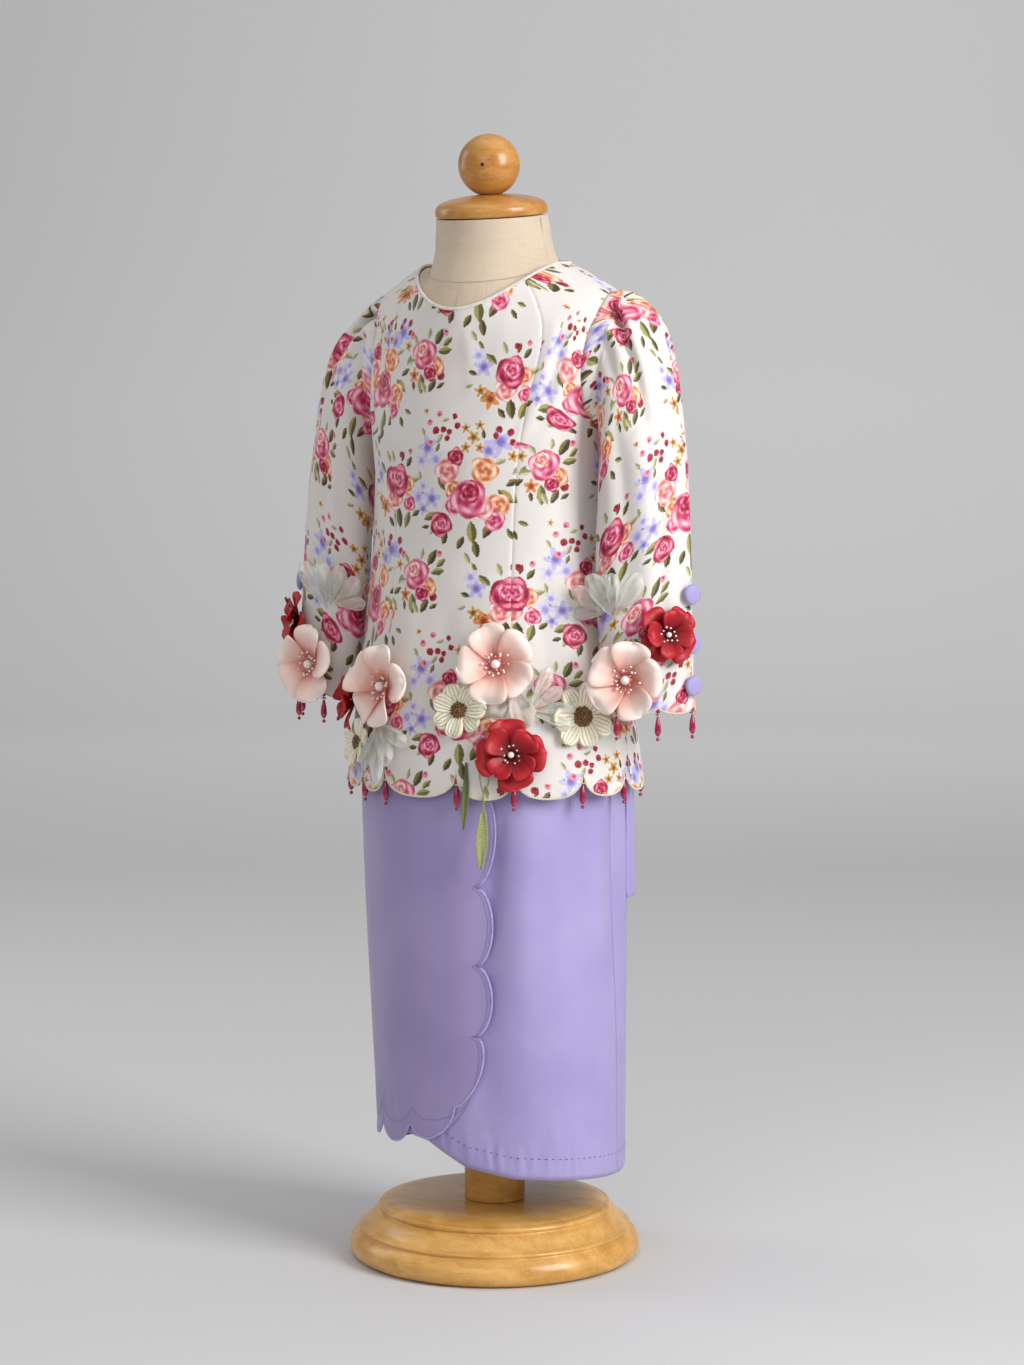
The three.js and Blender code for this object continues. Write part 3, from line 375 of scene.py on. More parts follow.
def tube_parts(path, radius, sides=8, closed=False):
    """Points and faces of a round cord along a path; the radius may change along it."""
    path = np.asarray(path, float)
    count = len(path)
    radii = np.broadcast_to(np.asarray(radius, float), (count,))
    along = np.roll(path, -1, axis=0) - np.roll(path, 1, axis=0) if closed else np.gradient(path, axis=0)
    tangent = unit(along)
    up = np.array([0, 0, 1.0]) if abs(tangent[:, 2]).mean() < 0.8 else np.array([1.0, 0.2, 0])
    side = unit(np.cross(tangent, up))
    other = np.cross(side, tangent)
    turns = np.linspace(0, 2 * np.pi, sides, endpoint=False)
    ring = side[:, None] * np.cos(turns)[None, :, None] + other[:, None] * np.sin(turns)[None, :, None]
    points = (path[:, None] + ring * radii[:, None, None]).reshape(-1, 3)
    faces = []
    for i in range(count if closed else count - 1):
        k = (i + 1) % count
        for j in range(sides):
            m = (j + 1) % sides
            faces.append((i * sides + j, i * sides + m, k * sides + m, k * sides + j))
    if not closed:
        faces.append(tuple(range(sides))[::-1])
        faces.append(tuple(range((count - 1) * sides, count * sides)))
    return points, faces


def tube(name, path, radius, material, slot, sides=8, closed=False):
    piece = new_piece(name, *tube_parts(path, radius, sides, closed), material, slot)
    fix_normals(piece)
    return piece


def fix_normals(piece):
    work = bmesh.new()
    work.from_mesh(piece.data)
    bmesh.ops.recalc_face_normals(work, faces=work.faces)
    work.to_mesh(piece.data)
    work.free()


def turned_parts(profile, segments):
    """Points and outward faces of a lathe shape from (radius, height) pairs that run upwards."""
    points, faces, rings = [], [], []
    for radius, height in profile:
        if radius < 1e-6:
            rings.append([len(points)])
            points.append((0, 0, height))
        else:
            rings.append(list(range(len(points), len(points) + segments)))
            for k in range(segments):
                turn = 2 * math.pi * k / segments
                points.append((radius * math.cos(turn), radius * math.sin(turn), height))
    for low, high in zip(rings, rings[1:]):
        for k in range(segments):
            m = (k + 1) % segments
            if len(low) == 1:
                faces.append((low[0], high[m], high[k]))
            elif len(high) == 1:
                faces.append((low[k], low[m], high[0]))
            else:
                faces.append((low[k], low[m], high[m], high[k]))
    return np.array(points, float), faces


def rounded(profile, steps=4, reach=0.35):
    """A lathe profile with its corners rounded off."""
    pts = [np.array(p, float) for p in profile]
    out = [pts[0]]
    for before, here, after in zip(pts, pts[1:], pts[2:]):
        a = here + (before - here) * reach
        b = here + (after - here) * reach
        for k in range(steps + 1):
            t = k / steps
            out.append((1 - t) ** 2 * a + 2 * t * (1 - t) * here + t * t * b)
    return [tuple(p) for p in [*out, pts[-1]]]


def frame_on(point, away):
    """Basis whose third column points off the cloth."""
    away = unit(np.asarray(away, float))
    up = np.array([0, 1.0, 0]) if abs(away[2]) > 0.9 else np.array([0, 0, 1.0])
    across = unit(np.cross(up, away))
    return np.asarray(point, float), np.stack([across, np.cross(away, across), away], axis=1)


class Heap:
    """Collects several bodies into the points and faces of one mesh."""

    def __init__(self):
        self.points, self.faces, self.uv, self.slots, self.count = [], [], [], [], 0

    def add(self, points, faces, uv=None, slot=0):
        points = np.asarray(points, float).reshape(-1, 3)
        self.points.append(points)
        self.faces += [tuple(i + self.count for i in f) for f in faces]
        self.slots += [slot] * len(faces)
        self.uv.append(np.zeros((len(points), 2)) if uv is None else np.asarray(uv, float).reshape(-1, 2))
        self.count += len(points)

    def piece(self, name, materials, slot, place=None, flip_x=False):
        points = np.concatenate(self.points)
        if place is not None:
            origin, basis = place
            points = points @ basis.T + origin
        faces = self.faces
        if flip_x:
            points = points * np.array([-1, 1, 1])
            faces = [f[::-1] for f in faces]
        return new_piece(name, points, faces, materials[0], slot, np.concatenate(self.uv), self.slots, materials[1:])

    def mended_piece(self, name, materials, slot, place=None, flip_x=False, node=None):
        """The heap as a piece whose faces all point out; the solid it replaces is hidden."""
        piece = self.piece(name, materials, slot, place, flip_x)
        fix_normals(piece)
        if node:
            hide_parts(node)


def ball_parts(centre, radius, segments=10, rings=6):
    turns = [math.pi * k / rings for k in range(1, rings)]
    profile = [(0, -radius)] + [(radius * math.sin(t), -radius * math.cos(t)) for t in turns] + [(0, radius)]
    points, faces = turned_parts(profile, segments)
    return points + np.asarray(centre, float), faces


# ---- finishes ---------------------------------------------------------------------------------
def colour(text):
    """Linear colour from an sRGB hex string."""
    parts = [int(text[k : k + 2], 16) / 255 for k in (0, 2, 4)]
    return tuple(c / 12.92 if c <= 0.04045 else ((c + 0.055) / 1.055) ** 2.4 for c in parts) + (1.0,)


class Nodes:
    """Adds shader nodes in the order they are worked out."""

    def __init__(self, tree):
        self.tree = tree

    def add(self, kind, inputs=(), output=0, **settings):
        node = self.tree.nodes.new(kind)
        for key, value in settings.items():
            setattr(node, key, value)
        for key, value in dict(inputs).items():
            socket = node.inputs[key]
            if isinstance(value, bpy.types.NodeSocket):
                self.tree.links.new(value, socket)
            else:
                socket.default_value = value
        return None if output is None else node.outputs[output]

    def math(self, operation, a, b=0.0, c=0.0, clamp=False):
        return self.add("ShaderNodeMath", {0: a, 1: b, 2: c}, operation=operation, use_clamp=clamp)

    def times(self, a, b):
        return self.math("MULTIPLY", a, b)

    def times_plus(self, a, factor, added, clamp=False):
        return self.math("MULTIPLY_ADD", a, factor, added, clamp)

    def plus(self, a, b):
        return self.math("ADD", a, b)

    def minus(self, a, b):
        return self.math("SUBTRACT", a, b)

    def over(self, a, b):
        return self.math("DIVIDE", a, b)

    def sine(self, a):
        return self.math("SINE", a)

    def vec(self, operation, a, b):
        return self.add("ShaderNodeVectorMath", {0: a, 1: b}, operation=operation)

    def scale(self, a, amount):
        return self.add("ShaderNodeVectorMath", {0: a, 3: amount}, operation="SCALE")

    def split(self, v):
        node = self.tree.nodes.new("ShaderNodeSeparateXYZ")
        self.tree.links.new(v, node.inputs[0])
        return node.outputs

    def join(self, x, y, z=0.0):
        return self.add("ShaderNodeCombineXYZ", {0: x, 1: y, 2: z})

    def mix(self, amount, a, b):
        return self.add("ShaderNodeMix", {0: amount, 6: a, 7: b}, 2, data_type="RGBA")

    def step(self, value, low, high):
        inputs = {0: value, 1: low, 2: high}
        return self.add("ShaderNodeMapRange", inputs, interpolation_type="SMOOTHSTEP", clamp=False)

    def stretch(self, v, x, y, z=1.0):
        return self.add("ShaderNodeMapping", {0: v, 3: (x, y, z)})

    def noise(self, v, size, detail=2.0, rough=0.5, output=0):
        inputs = {"Vector": v, "Scale": size, "Detail": detail, "Roughness": rough}
        return self.add("ShaderNodeTexNoise", inputs, output)

    def ramp(self, value, stops):
        """Stops are (place, hex colour) pairs."""
        node = self.tree.nodes.new("ShaderNodeValToRGB")
        self.tree.links.new(value, node.inputs[0])
        while len(node.color_ramp.elements) < len(stops):
            node.color_ramp.elements.new(0.5)
        for element, (place, tint) in zip(node.color_ramp.elements, stops):
            element.position, element.color = place, colour(tint)
        return node.outputs[0]


def new_finish(name):
    finish = bpy.data.materials.new(name)
    finish.use_nodes = True
    finish.node_tree.nodes.clear()
    return finish, Nodes(finish.node_tree)


SHADER_INPUTS = {
    "roughness": "Roughness", "sheen": "Sheen Weight", "sheen_rough": "Sheen Roughness", "coat": "Coat Weight",
    "coat_rough": "Coat Roughness", "alpha": "Alpha", "specular": "Specular IOR Level", "metallic": "Metallic",
    "anisotropic": "Anisotropic",
}


def finish_off(nodes, base, bump, bump_height, **settings):
    """The shader at the end of a finish, with its fixed numbers on its own sockets."""
    normal = nodes.add("ShaderNodeBump", {"Height": bump, "Distance": bump_height, "Strength": 1.0})
    inputs = {"Base Color": base, "Normal": normal} | {SHADER_INPUTS[key]: value for key, value in settings.items()}
    shader = nodes.add("ShaderNodeBsdfPrincipled", inputs)
    nodes.add("ShaderNodeOutputMaterial", {0: shader}, None)


def object_place(nodes):
    return nodes.add("ShaderNodeTexCoord", output=3)


def cloth_place(nodes):
    """Place on the flat cloth in millimetres."""
    return nodes.scale(nodes.add("ShaderNodeUVMap", uv_map="cloth"), 1000.0)


def weave_height(nodes, place, pitch):
    """Over and under of a plain weave of that thread pitch in millimetres."""
    x, y, _ = nodes.split(nodes.scale(place, math.pi / pitch))
    return nodes.times(nodes.sine(x), nodes.sine(y))


def make_maple(name, tones):
    """Varnished turned maple: long grain with fine pores."""
    finish, n = new_finish(name)
    place = object_place(n)
    stretched = n.stretch(place, 9.0, 34.0, 60.0)
    wobble = n.noise(place, 14.0, 3.0)
    bent = n.vec("ADD", stretched, n.scale(n.join(wobble, wobble, wobble), 2.6))
    grain = n.noise(bent, 1.0, 4.0, 0.6)
    fine = n.noise(n.stretch(place, 60.0, 900.0, 900.0), 1.0, 2.0)
    both = n.times_plus(fine, 0.28, n.times(grain, 0.78))
    tint = n.ramp(both, list(zip((0.3, 0.46, 0.6, 0.78), tones)))
    finish_off(n, tint, n.times(both, 0.4), 0.0002, roughness=0.36, coat=0.4, coat_rough=0.2, specular=0.4)
    return finish


def make_linen():
    finish, n = new_finish("natural_linen")
    place = object_place(n)
    x, y, z = n.split(n.scale(place, 1000.0))
    cloth = n.join(n.times(n.math("ARCTAN2", y, x), 52.0), z)
    slub_x = n.noise(n.stretch(cloth, 0.05, 1.6), 1.0, 3.0)
    slub_y = n.noise(n.stretch(cloth, 1.7, 0.06), 1.0, 3.0)
    slub = n.plus(slub_x, slub_y)
    blotch = n.noise(place, 18.0, 3.0)
    uneven = n.times_plus(blotch, 0.3, n.times(slub, 0.36))
    base = n.ramp(uneven, [(0.26, "bda78c"), (0.5, "d3c0a8"), (0.8, "e0d1bc")])
    height = n.times_plus(weave_height(n, cloth, 0.75), 0.4, n.times(slub, 0.9))
    finish_off(n, base, height, 0.00022, roughness=0.86, sheen=0.25, sheen_rough=0.5)
    return finish


def make_satin(name, dark, middle, light, rough=0.46, twill=0.42):
    """Soft lilac satin-crepe: fine twill, a little uneven in colour."""
    finish, n = new_finish(name)
    place = cloth_place(n)
    blotch = n.noise(n.scale(place, 0.012), 1.0, 3.0)
    streak = n.noise(n.stretch(place, 1.1, 0.6), 1.0, 2.0)
    amount = n.times_plus(streak, 0.2, n.times_plus(blotch, 0.65, 0.075))
    base = n.ramp(amount, [(0.3, dark), (0.5, middle), (0.72, light)])
    x, y, _ = n.split(place)
    diagonal = n.sine(n.times(n.times_plus(y, 0.6, x), 2 * math.pi / twill))
    crinkle = n.noise(n.scale(place, 0.35), 1.0, 3.0)
    height = n.times_plus(crinkle, 0.9, n.times(diagonal, 0.16))
    finish_off(n, base, height, 0.00016, roughness=rough, sheen=0.35, sheen_rough=0.4, anisotropic=0.25)
    return finish


def make_petal(name, stops, edge, sheen):
    """Petal cloth: colour runs from the root, at 0, to the tip, at 1, with faint veins."""
    finish, n = new_finish(name)
    along, across, _ = n.split(cloth_place(n))
    wander = n.noise(n.scale(object_place(n), 160.0), 1.0, 2.0)
    shifted = n.times_plus(wander, 0.16, n.minus(along, 0.08))
    base = n.ramp(shifted, stops)
    veins = n.times(n.sine(n.times_plus(along, 2.0, n.times(across, 24.0))), 0.35)
    mottled = n.noise(n.scale(object_place(n), 420.0), 1.0, 2.0)
    rim = n.step(along, 0.93, 1.0)
    base = n.mix(n.times(rim, 0.6), base, colour(edge))
    finish_off(n, base, n.times_plus(mottled, 0.5, veins), 0.00018, roughness=0.5, sheen=sheen, sheen_rough=0.45)
    return finish


def make_net(name, tint, cover, thread=0.7):
    """Stiff sheer organza: fine threads over clear gaps."""
    finish, n = new_finish(name)
    flat = cloth_place(n)
    cloud = n.noise(n.scale(object_place(n), 90.0), 1.0, 3.0)
    x, y, _ = n.split(n.scale(flat, 2 * math.pi / thread))
    lines = n.plus(n.sine(x), n.sine(y))
    base = n.mix(cloud, colour(tint), colour("f1f1e6"))
    dense = n.times_plus(cloud, 0.25, cover - 0.12)
    alpha = n.times_plus(lines, 0.05, dense, clamp=True)
    looks = dict(roughness=0.75, sheen=0.4, sheen_rough=0.4, specular=0.12, alpha=alpha)
    finish_off(n, base, n.times(lines, 0.3), 0.0001, **looks)
    return finish


def make_glossy(name, dark, light, rough=0.12, coat=0.8, metallic=0.0, grain=900.0):
    """Beads, pearls and small metal: slightly uneven colour under a clear gloss."""
    finish, n = new_finish(name)
    cloud = n.noise(n.scale(object_place(n), grain), 1.0, 2.0)
    base = n.ramp(cloud, [(0.32, dark), (0.68, light)])
    finish_off(n, base, cloud, 0.00003, roughness=rough, coat=coat, coat_rough=0.08, metallic=metallic)
    return finish


def make_thread(name, dark, light, pitch=0.9):
    """Cord, piping and stitches: twisted thread."""
    finish, n = new_finish(name)
    place = n.scale(object_place(n), 1000.0)
    x, y, z = n.split(place)
    twist = n.sine(n.times(n.plus(n.plus(x, y), z), 2 * math.pi / pitch))
    cloud = n.noise(n.scale(place, 0.4), 1.0, 2.0)
    amount = n.times_plus(twist, 0.12, cloud)
    base = n.ramp(amount, [(0.3, dark), (0.7, light)])
    finish_off(n, base, twist, 0.00012, roughness=0.7, sheen=0.3, sheen_rough=0.5)
    return finish


def make_crochet(name, dark, middle, light, lines=40.0):
    """Embroidered petal: satin-stitch threads run along the petal, with painted shade darkening the grooves between
    them.
    """
    finish, n = new_finish(name)
    along, across, _ = n.split(cloth_place(n))
    wander = n.noise(n.scale(object_place(n), 300.0), 1.0, 2.0)
    thread = n.sine(n.times_plus(wander, 3.0, n.times(across, lines)))
    gap = n.step(thread, -0.95, -0.3)
    rope = n.sine(n.times(along, 90.0))
    # where the threads dip between stitches the colour darkens: painted shade in the grooves
    base = n.ramp(n.times_plus(gap, 0.6, n.times(wander, 0.4)), [(0.15, dark), (0.5, middle), (0.85, light)])
    finish_off(n, base, n.times_plus(rope, 0.12, gap), 0.0006, roughness=0.75, sheen=0.3, sheen_rough=0.5)
    return finish


# The print is an all-over half-drop of ordinary rose bunches; every bunch sits in its own cell.
PRINT_WIDTH, PRINT_HEIGHT = 97.0, 165.0
LEAF_SHARE = 0.87  # leaves are printed a little shorter than their half length in the table


def stamp_group(name, numbers, tints, draw):
    """A shader node group that draws one motif: numbers and tints name its inputs."""
    tree = bpy.data.node_groups.new(name, "ShaderNodeTree")
    inputs = [(label, "NodeSocketFloat") for label in numbers.split()]
    inputs += [(label, "NodeSocketColor") for label in tints.split()]
    for label, kind in inputs:
        tree.interface.new_socket(label, in_out="INPUT", socket_type=kind)
    for label, kind in (("Color", "NodeSocketColor"), ("Mask", "NodeSocketFloat")):
        tree.interface.new_socket(label, in_out="OUTPUT", socket_type=kind)
    start = tree.nodes.new("NodeGroupInput")
    made = draw(Nodes(tree), *list(start.outputs)[: len(inputs)])
    end = tree.nodes.new("NodeGroupOutput")
    for socket, value in zip(end.inputs, made):
        tree.links.new(value, socket)
    return tree


def from_centre(n, px, py, x, y, radius):
    """Steps from a centre, and the distance as a share of the radius."""
    dx = n.minus(px, x)
    dy = n.minus(py, y)
    square = n.times_plus(dx, dx, n.times(dy, dy))
    return dx, dy, n.over(n.math("SQRT", square), radius)


def draw_rose(n, px, py, x, y, radius, turn, dark, middle, light):
    dx, dy, r = from_centre(n, px, py, x, y, radius)
    a = n.plus(n.math("ARCTAN2", dy, dx), turn)
    lobes = n.times_plus(n.sine(n.times(a, 5.0)), 0.06, n.times(n.sine(n.times_plus(a, 3.0, 1.0)), 0.05))
    edge = n.plus(r, lobes)
    mask = n.step(edge, 1.0, 0.93)
    swirl = n.sine(n.times_plus(r, 8.5, n.times(a, 2.0)))
    fold = n.sine(n.times_plus(r, -13.0, n.times_plus(a, 3.0, 1.3)))
    outer = n.times(fold, r)
    tone = n.times_plus(swirl, 0.24, n.times_plus(outer, 0.26, n.times_plus(r, 0.42, 0.16)))
    low = n.mix(n.step(tone, 0.1, 0.45), dark, middle)
    tint = n.mix(n.step(tone, 0.45, 0.8), low, light)
    return n.mix(n.times(n.step(edge, 0.84, 0.97), 0.45), tint, dark), mask


def draw_leaf(n, px, py, x, y, length, cosine, sine, tint, shade):
    dx, dy, _ = from_centre(n, px, py, x, y, length)
    along = n.times_plus(dx, cosine, n.times(dy, sine))
    aside = n.minus(n.times(dy, cosine), n.times(dx, sine))
    u = n.over(along, length)
    body = n.minus(1.0, n.times(u, u))
    half = n.times(n.times(body, length), 0.46)
    distance = n.math("ABSOLUTE", aside)
    mask = n.step(n.minus(half, distance), -0.15, 0.35)
    tone = n.mix(n.step(aside, -0.5, 0.6), shade, tint)
    return n.mix(n.times(n.step(distance, 0.55, 0.15), 0.5), tone, shade), mask


def draw_floret(n, px, py, x, y, radius, turn, petals, tint, eye):
    dx, dy, r = from_centre(n, px, py, x, y, radius)
    a = n.times_plus(n.math("ARCTAN2", dy, dx), petals, turn)
    reach = n.times_plus(n.sine(a), 0.26, 0.74)
    mask = n.step(n.minus(reach, r), -0.06, 0.1)
    return n.mix(n.step(r, 0.55, 0.12), tint, eye), mask


def bunch_place(n, px, py, x, y):
    """Place inside the half-drop cell centred on (x, y)."""
    across = n.over(n.minus(px, x), PRINT_WIDTH)
    column = n.math("FLOOR", n.plus(across, 0.5))
    drop = n.times(n.math("FLOORED_MODULO", column, 2.0), 0.5)
    up = n.plus(n.over(n.minus(py, y), PRINT_HEIGHT), drop)
    row = n.math("FLOOR", n.plus(up, 0.5))
    return n.times(n.minus(across, column), PRINT_WIDTH), n.times(n.minus(up, row), PRINT_HEIGHT)


CRIMSON = ("7d0f2c", "c22f56", "eb8fa6")
ROSE = ("b52c55", "df6f90", "f6c3cc")
BLUSH = ("cf6a74", "efa9a4", "fbe3d8")
PEACH = ("c9663f", "efab82", "fce2cb")
LEAF = ("a39c58", "5f5a2a")
DARK_LEAF = ("7b7338", "41381c")
PALE_LEAF = ("c9c59c", "948e68")
LILAC = ("beb6e0", "7a6db6")
PALE_LILAC = ("d3cdea", "a098cf")
OCHRE = ("cf9a4a", "7a4716")
ORANGE = ("dd8a3f", "8c3415")
BERRY = ("a81c38", "64101f")
PINK_BUD = ("e38a9d", "b02b4c")
# Each bunch: its place and size, then roses (x, y, radius, turn, tones), leaves (x, y, half length, degrees, tones)
# and florets (x, y, radius, petals, tones).
BUNCHES = [
    ((16, 35), 1.12, {
        "leaves": [(-27, -17, 7, 20, LEAF), (-16, -31, 6, 75, DARK_LEAF), (4, -27, 9, 95, LEAF),
            (15, -25, 8, 60, DARK_LEAF), (27, -3, 8, -40, LEAF), (31, 6, 5.5, 30, DARK_LEAF),
            (-18, 5, 6, 120, DARK_LEAF), (-32, -3, 5, 150, PALE_LEAF), (24, 20, 5, 20, PALE_LEAF),
            (7, -38, 7, 100, DARK_LEAF), (22, -17, 6, 130, PALE_LEAF), (-4, -34, 6, 60, DARK_LEAF),
            (1, -44, 5, 120, PALE_LEAF), (-25, -26, 5, 50, PALE_LEAF), (-31, -24, 4, 10, DARK_LEAF),
            (30, -28, 5, 120, DARK_LEAF), (36, -21, 4.5, 160, LEAF), (34, 14, 4.5, 60, LEAF),
            (-36, 10, 4, 100, PALE_LEAF), (-20, 35, 4.5, 60, PALE_LEAF), (12, 38, 4, 100, DARK_LEAF)],
        "florets": [(-29, 29, 8.5, 5, LILAC), (-22, 21, 7, 5, PALE_LILAC), (-34, 20, 6, 5, PALE_LILAC),
            (-26, -5, 7.5, 5, LILAC), (-33, 3, 5, 5, PALE_LILAC), (24, 33, 9.5, 5, LILAC), (16, 27, 7.5, 5, LILAC),
            (30, 40, 3.4, 1, BERRY), (23, 42, 3.2, 1, BERRY), (33, 33, 3, 1, BERRY), (20, 37, 2.8, 1, BERRY),
            (5, 36, 5, 5, OCHRE), (-1, 42, 3.6, 5, OCHRE), (9, 44, 3.6, 5, OCHRE), (0, 29, 4, 5, OCHRE),
            (10, 29, 3.5, 5, OCHRE), (-8, 43, 3, 1, BERRY), (-13, 40, 2.6, 1, BERRY)],
        "roses": [(-13, 13, 9.5, 0.4, BLUSH), (-7, 23, 6.2, 2.0, CRIMSON), (13, 14, 9.5, 1.1, PEACH),
            (-9, 1, 7, 0.9, PEACH), (22, -9, 8.2, 2.6, PEACH), (19, -19, 7.4, 3.1, ROSE), (-8, -9, 7.5, 1.5, ROSE),
            (11, -11, 8.5, 1.9, BLUSH), (2, -5, 13.2, 0.2, ROSE), (2.5, 0, 7.6, 2.2, CRIMSON),
            (-19, -22, 8.6, 1.2, CRIMSON), (-18.5, -22, 4.6, 0.3, ROSE)],
    }),
    ((-50, 36), 1.2, {
        "leaves": [(-13, 13, 6, 140, LEAF), (12, 17, 5, 50, DARK_LEAF), (2, -18, 8, 100, DARK_LEAF),
            (10, -19, 7, 70, LEAF), (-14, -10, 6, 200, LEAF), (17, 6, 5, 10, PALE_LEAF), (-4, 20, 5, 110, PALE_LEAF),
            (-4, -21, 5, 130, DARK_LEAF), (18, -15, 4.5, 30, DARK_LEAF), (-25, 4, 4, 160, DARK_LEAF),
            (-20, 21, 4, 120, LEAF), (6, 20, 4, 70, DARK_LEAF), (-27, -4, 3.5, 20, PALE_LEAF)],
        "florets": [(-18, 8, 7, 5, LILAC), (-22, 15, 5.5, 5, PALE_LILAC), (20, -5, 7, 5, PALE_LILAC),
            (24, -12, 4.6, 5, LILAC), (-12, -12, 7, 5, ORANGE), (-19, -7, 4.4, 5, OCHRE), (5, 22, 3, 1, BERRY),
            (13, 24, 2.6, 1, PINK_BUD)],
        "roses": [(-2, -6, 7.6, 1.0, BLUSH), (10, 3, 6.4, 0.8, PEACH), (1, 5, 10.6, 2.3, CRIMSON),
            (1.5, 6.5, 6, 0.7, ROSE), (12, -9, 5.6, 1.6, ROSE)],
    }),
    ((-24, -29), 1.3, {
        "leaves": [(9, 11, 6.5, 60, DARK_LEAF), (13, 3, 5.5, 10, LEAF), (-3, -16, 7, 95, LEAF),
            (-10, 10, 4.5, 130, PALE_LEAF), (5, -17, 5.5, 60, DARK_LEAF), (-13, -3, 4.6, 190, PALE_LEAF),
            (15, 8, 4.5, 40, LEAF), (-1, -18, 4.5, 120, PALE_LEAF), (11, -17, 3.6, 30, DARK_LEAF),
            (2, 13, 4, 80, PALE_LEAF), (-9, -17, 3.6, 100, DARK_LEAF)],
        "florets": [(-9, -11, 4.6, 5, ORANGE), (-13, 13, 3, 1, PINK_BUD), (14, 14, 2.6, 1, PINK_BUD),
            (-16, 6, 3.4, 5, OCHRE), (10, -12, 3.6, 1, BERRY)],
        "roses": [(6, -6, 6.6, 1.4, PEACH), (-2, 1, 9.4, 0.6, ROSE), (-4, 4, 5, 2.8, BLUSH),
            (3, -10, 4.6, 2.2, CRIMSON)],
    }),
    ((-10, 79), 1.3, {
        "leaves": [(-9, 0, 3.4, 120, PALE_LEAF), (2, -9, 3.4, 70, LEAF), (6, 7, 3, 20, PALE_LEAF)],
        "florets": [(0, 0, 3, 1, BERRY), (-5, 6, 2.6, 1, PINK_BUD), (5, 2, 2.6, 1, BERRY), (-3, -6, 2.8, 1, PINK_BUD),
            (8, -4, 2.4, 1, BERRY), (1, 10, 2.6, 1, PINK_BUD), (-9, -8, 2.2, 5, PALE_LILAC), (11, 9, 2.2, 1, BERRY),
            (-8, 12, 2, 5, OCHRE)],
        "roses": [],
    }),
]


def make_print():
    finish, n = new_finish("rose_print_satin")
    rose = stamp_group("printed_rose", "Across Up X Y Radius Turn", "Dark Middle Light", draw_rose)
    leaf = stamp_group("printed_leaf", "Across Up X Y Length Cosine Sine", "Tint Shade", draw_leaf)
    floret = stamp_group("printed_floret", "Across Up X Y Radius Turn Petals", "Tint Eye", draw_floret)
    flat = cloth_place(n)
    wander = n.noise(n.scale(flat, 0.55), 1.0, 1.0, output=1)
    tremble = n.noise(n.scale(flat, 1.7), 1.0, 1.0, output=1)
    place = flat
    for shake, reach in ((wander, 1.6), (tremble, 1.1)):
        place = n.vec("ADD", place, n.scale(n.vec("SUBTRACT", shake, (0.5, 0.5, 0.5)), reach))
    base = n.mix(n.noise(n.scale(flat, 0.02), 1.0, 1.0), colour("d9d3cd"), colour("e3deda"))
    brush = n.noise(n.scale(flat, 1.5), 1.0, 1.0)

    def stamp(base, tree, *values):
        tint = n.add("ShaderNodeGroup", enumerate(values), "Color", node_tree=tree)
        return n.mix(tint.node.outputs["Mask"], base, tint)

    px, py, _ = n.split(place)
    for (x, y), size, bunch in BUNCHES:
        across, up = (n.over(place, size) for place in bunch_place(n, px, py, x, y))
        for dx, dy, length, turn, tones in bunch["leaves"]:
            c, s = math.cos(math.radians(turn)), math.sin(math.radians(turn))
            base = stamp(base, leaf, across, up, dx, dy, length * LEAF_SHARE, c, s, *map(colour, tones))
        for dx, dy, radius, petals, tones in bunch["florets"]:
            base = stamp(base, floret, across, up, dx, dy, radius, dx * 0.7, petals, *map(colour, tones))
        for dx, dy, radius, turn, tones in bunch["roses"]:
            base = stamp(base, rose, across, up, dx, dy, radius, turn, *map(colour, tones))
    soft = n.times_plus(brush, 0.22, 0.9)
    base = n.vec("MULTIPLY", base, n.join(soft, soft, soft))
    threads = weave_height(n, flat, 0.5)
    crinkle = n.noise(n.scale(flat, 0.3), 1.0, 2.0)
    height = n.times_plus(crinkle, 0.9, n.times(threads, 0.2))
    finish_off(n, base, height, 0.00014, roughness=0.5, sheen=0.3, sheen_rough=0.4, specular=0.4)
    return finish


MAPLE = make_maple("varnished_maple", ("955a1e", "b57932", "c69049", "d6a763"))
PALE_MAPLE = make_maple("pale_maple", ("b27a33", "cb9548", "dfaa5d", "ecbd74"))
LINEN = make_linen()
PRINT = make_print()
LILAC_SATIN = make_satin("lilac_satin_crepe", "998dc5", "a69bcf", "b1a7d7")
# The overlap's copy of the lilac satin is darker and greyer: painted shade, as the overlap faces away from the key
# light.
LILAC_SATIN_SHADED = make_satin("lilac_satin_overlap_painted_shade", "9385b8", "9f91c2", "aa9ccb")
LILAC_EDGE = make_thread("lilac_piping", "a898dc", "c1b4ec", 1.1)
LILAC_THREAD = make_thread("lilac_stitch", "54478c", "6b5da6", 0.7)
CREAM_EDGE = make_thread("cream_piping", "dccfae", "efe7cf", 1.1)
WHITE_EDGE = make_thread("white_binding", "e3ddd2", "f4f0e9", 1.1)
# darker cords along the form's seams: painted shade of the seam lines
SEAM_SHADE_CORD = make_thread("seam_shade", "b7ab9a", "cbc1b2", 0.8)
BLUSH_STOPS = [(0.0, "b9544d"), (0.17, "df8f80"), (0.36, "f0c3b5"), (0.58, "f7dfd4"), (1.0, "f9eae1")]
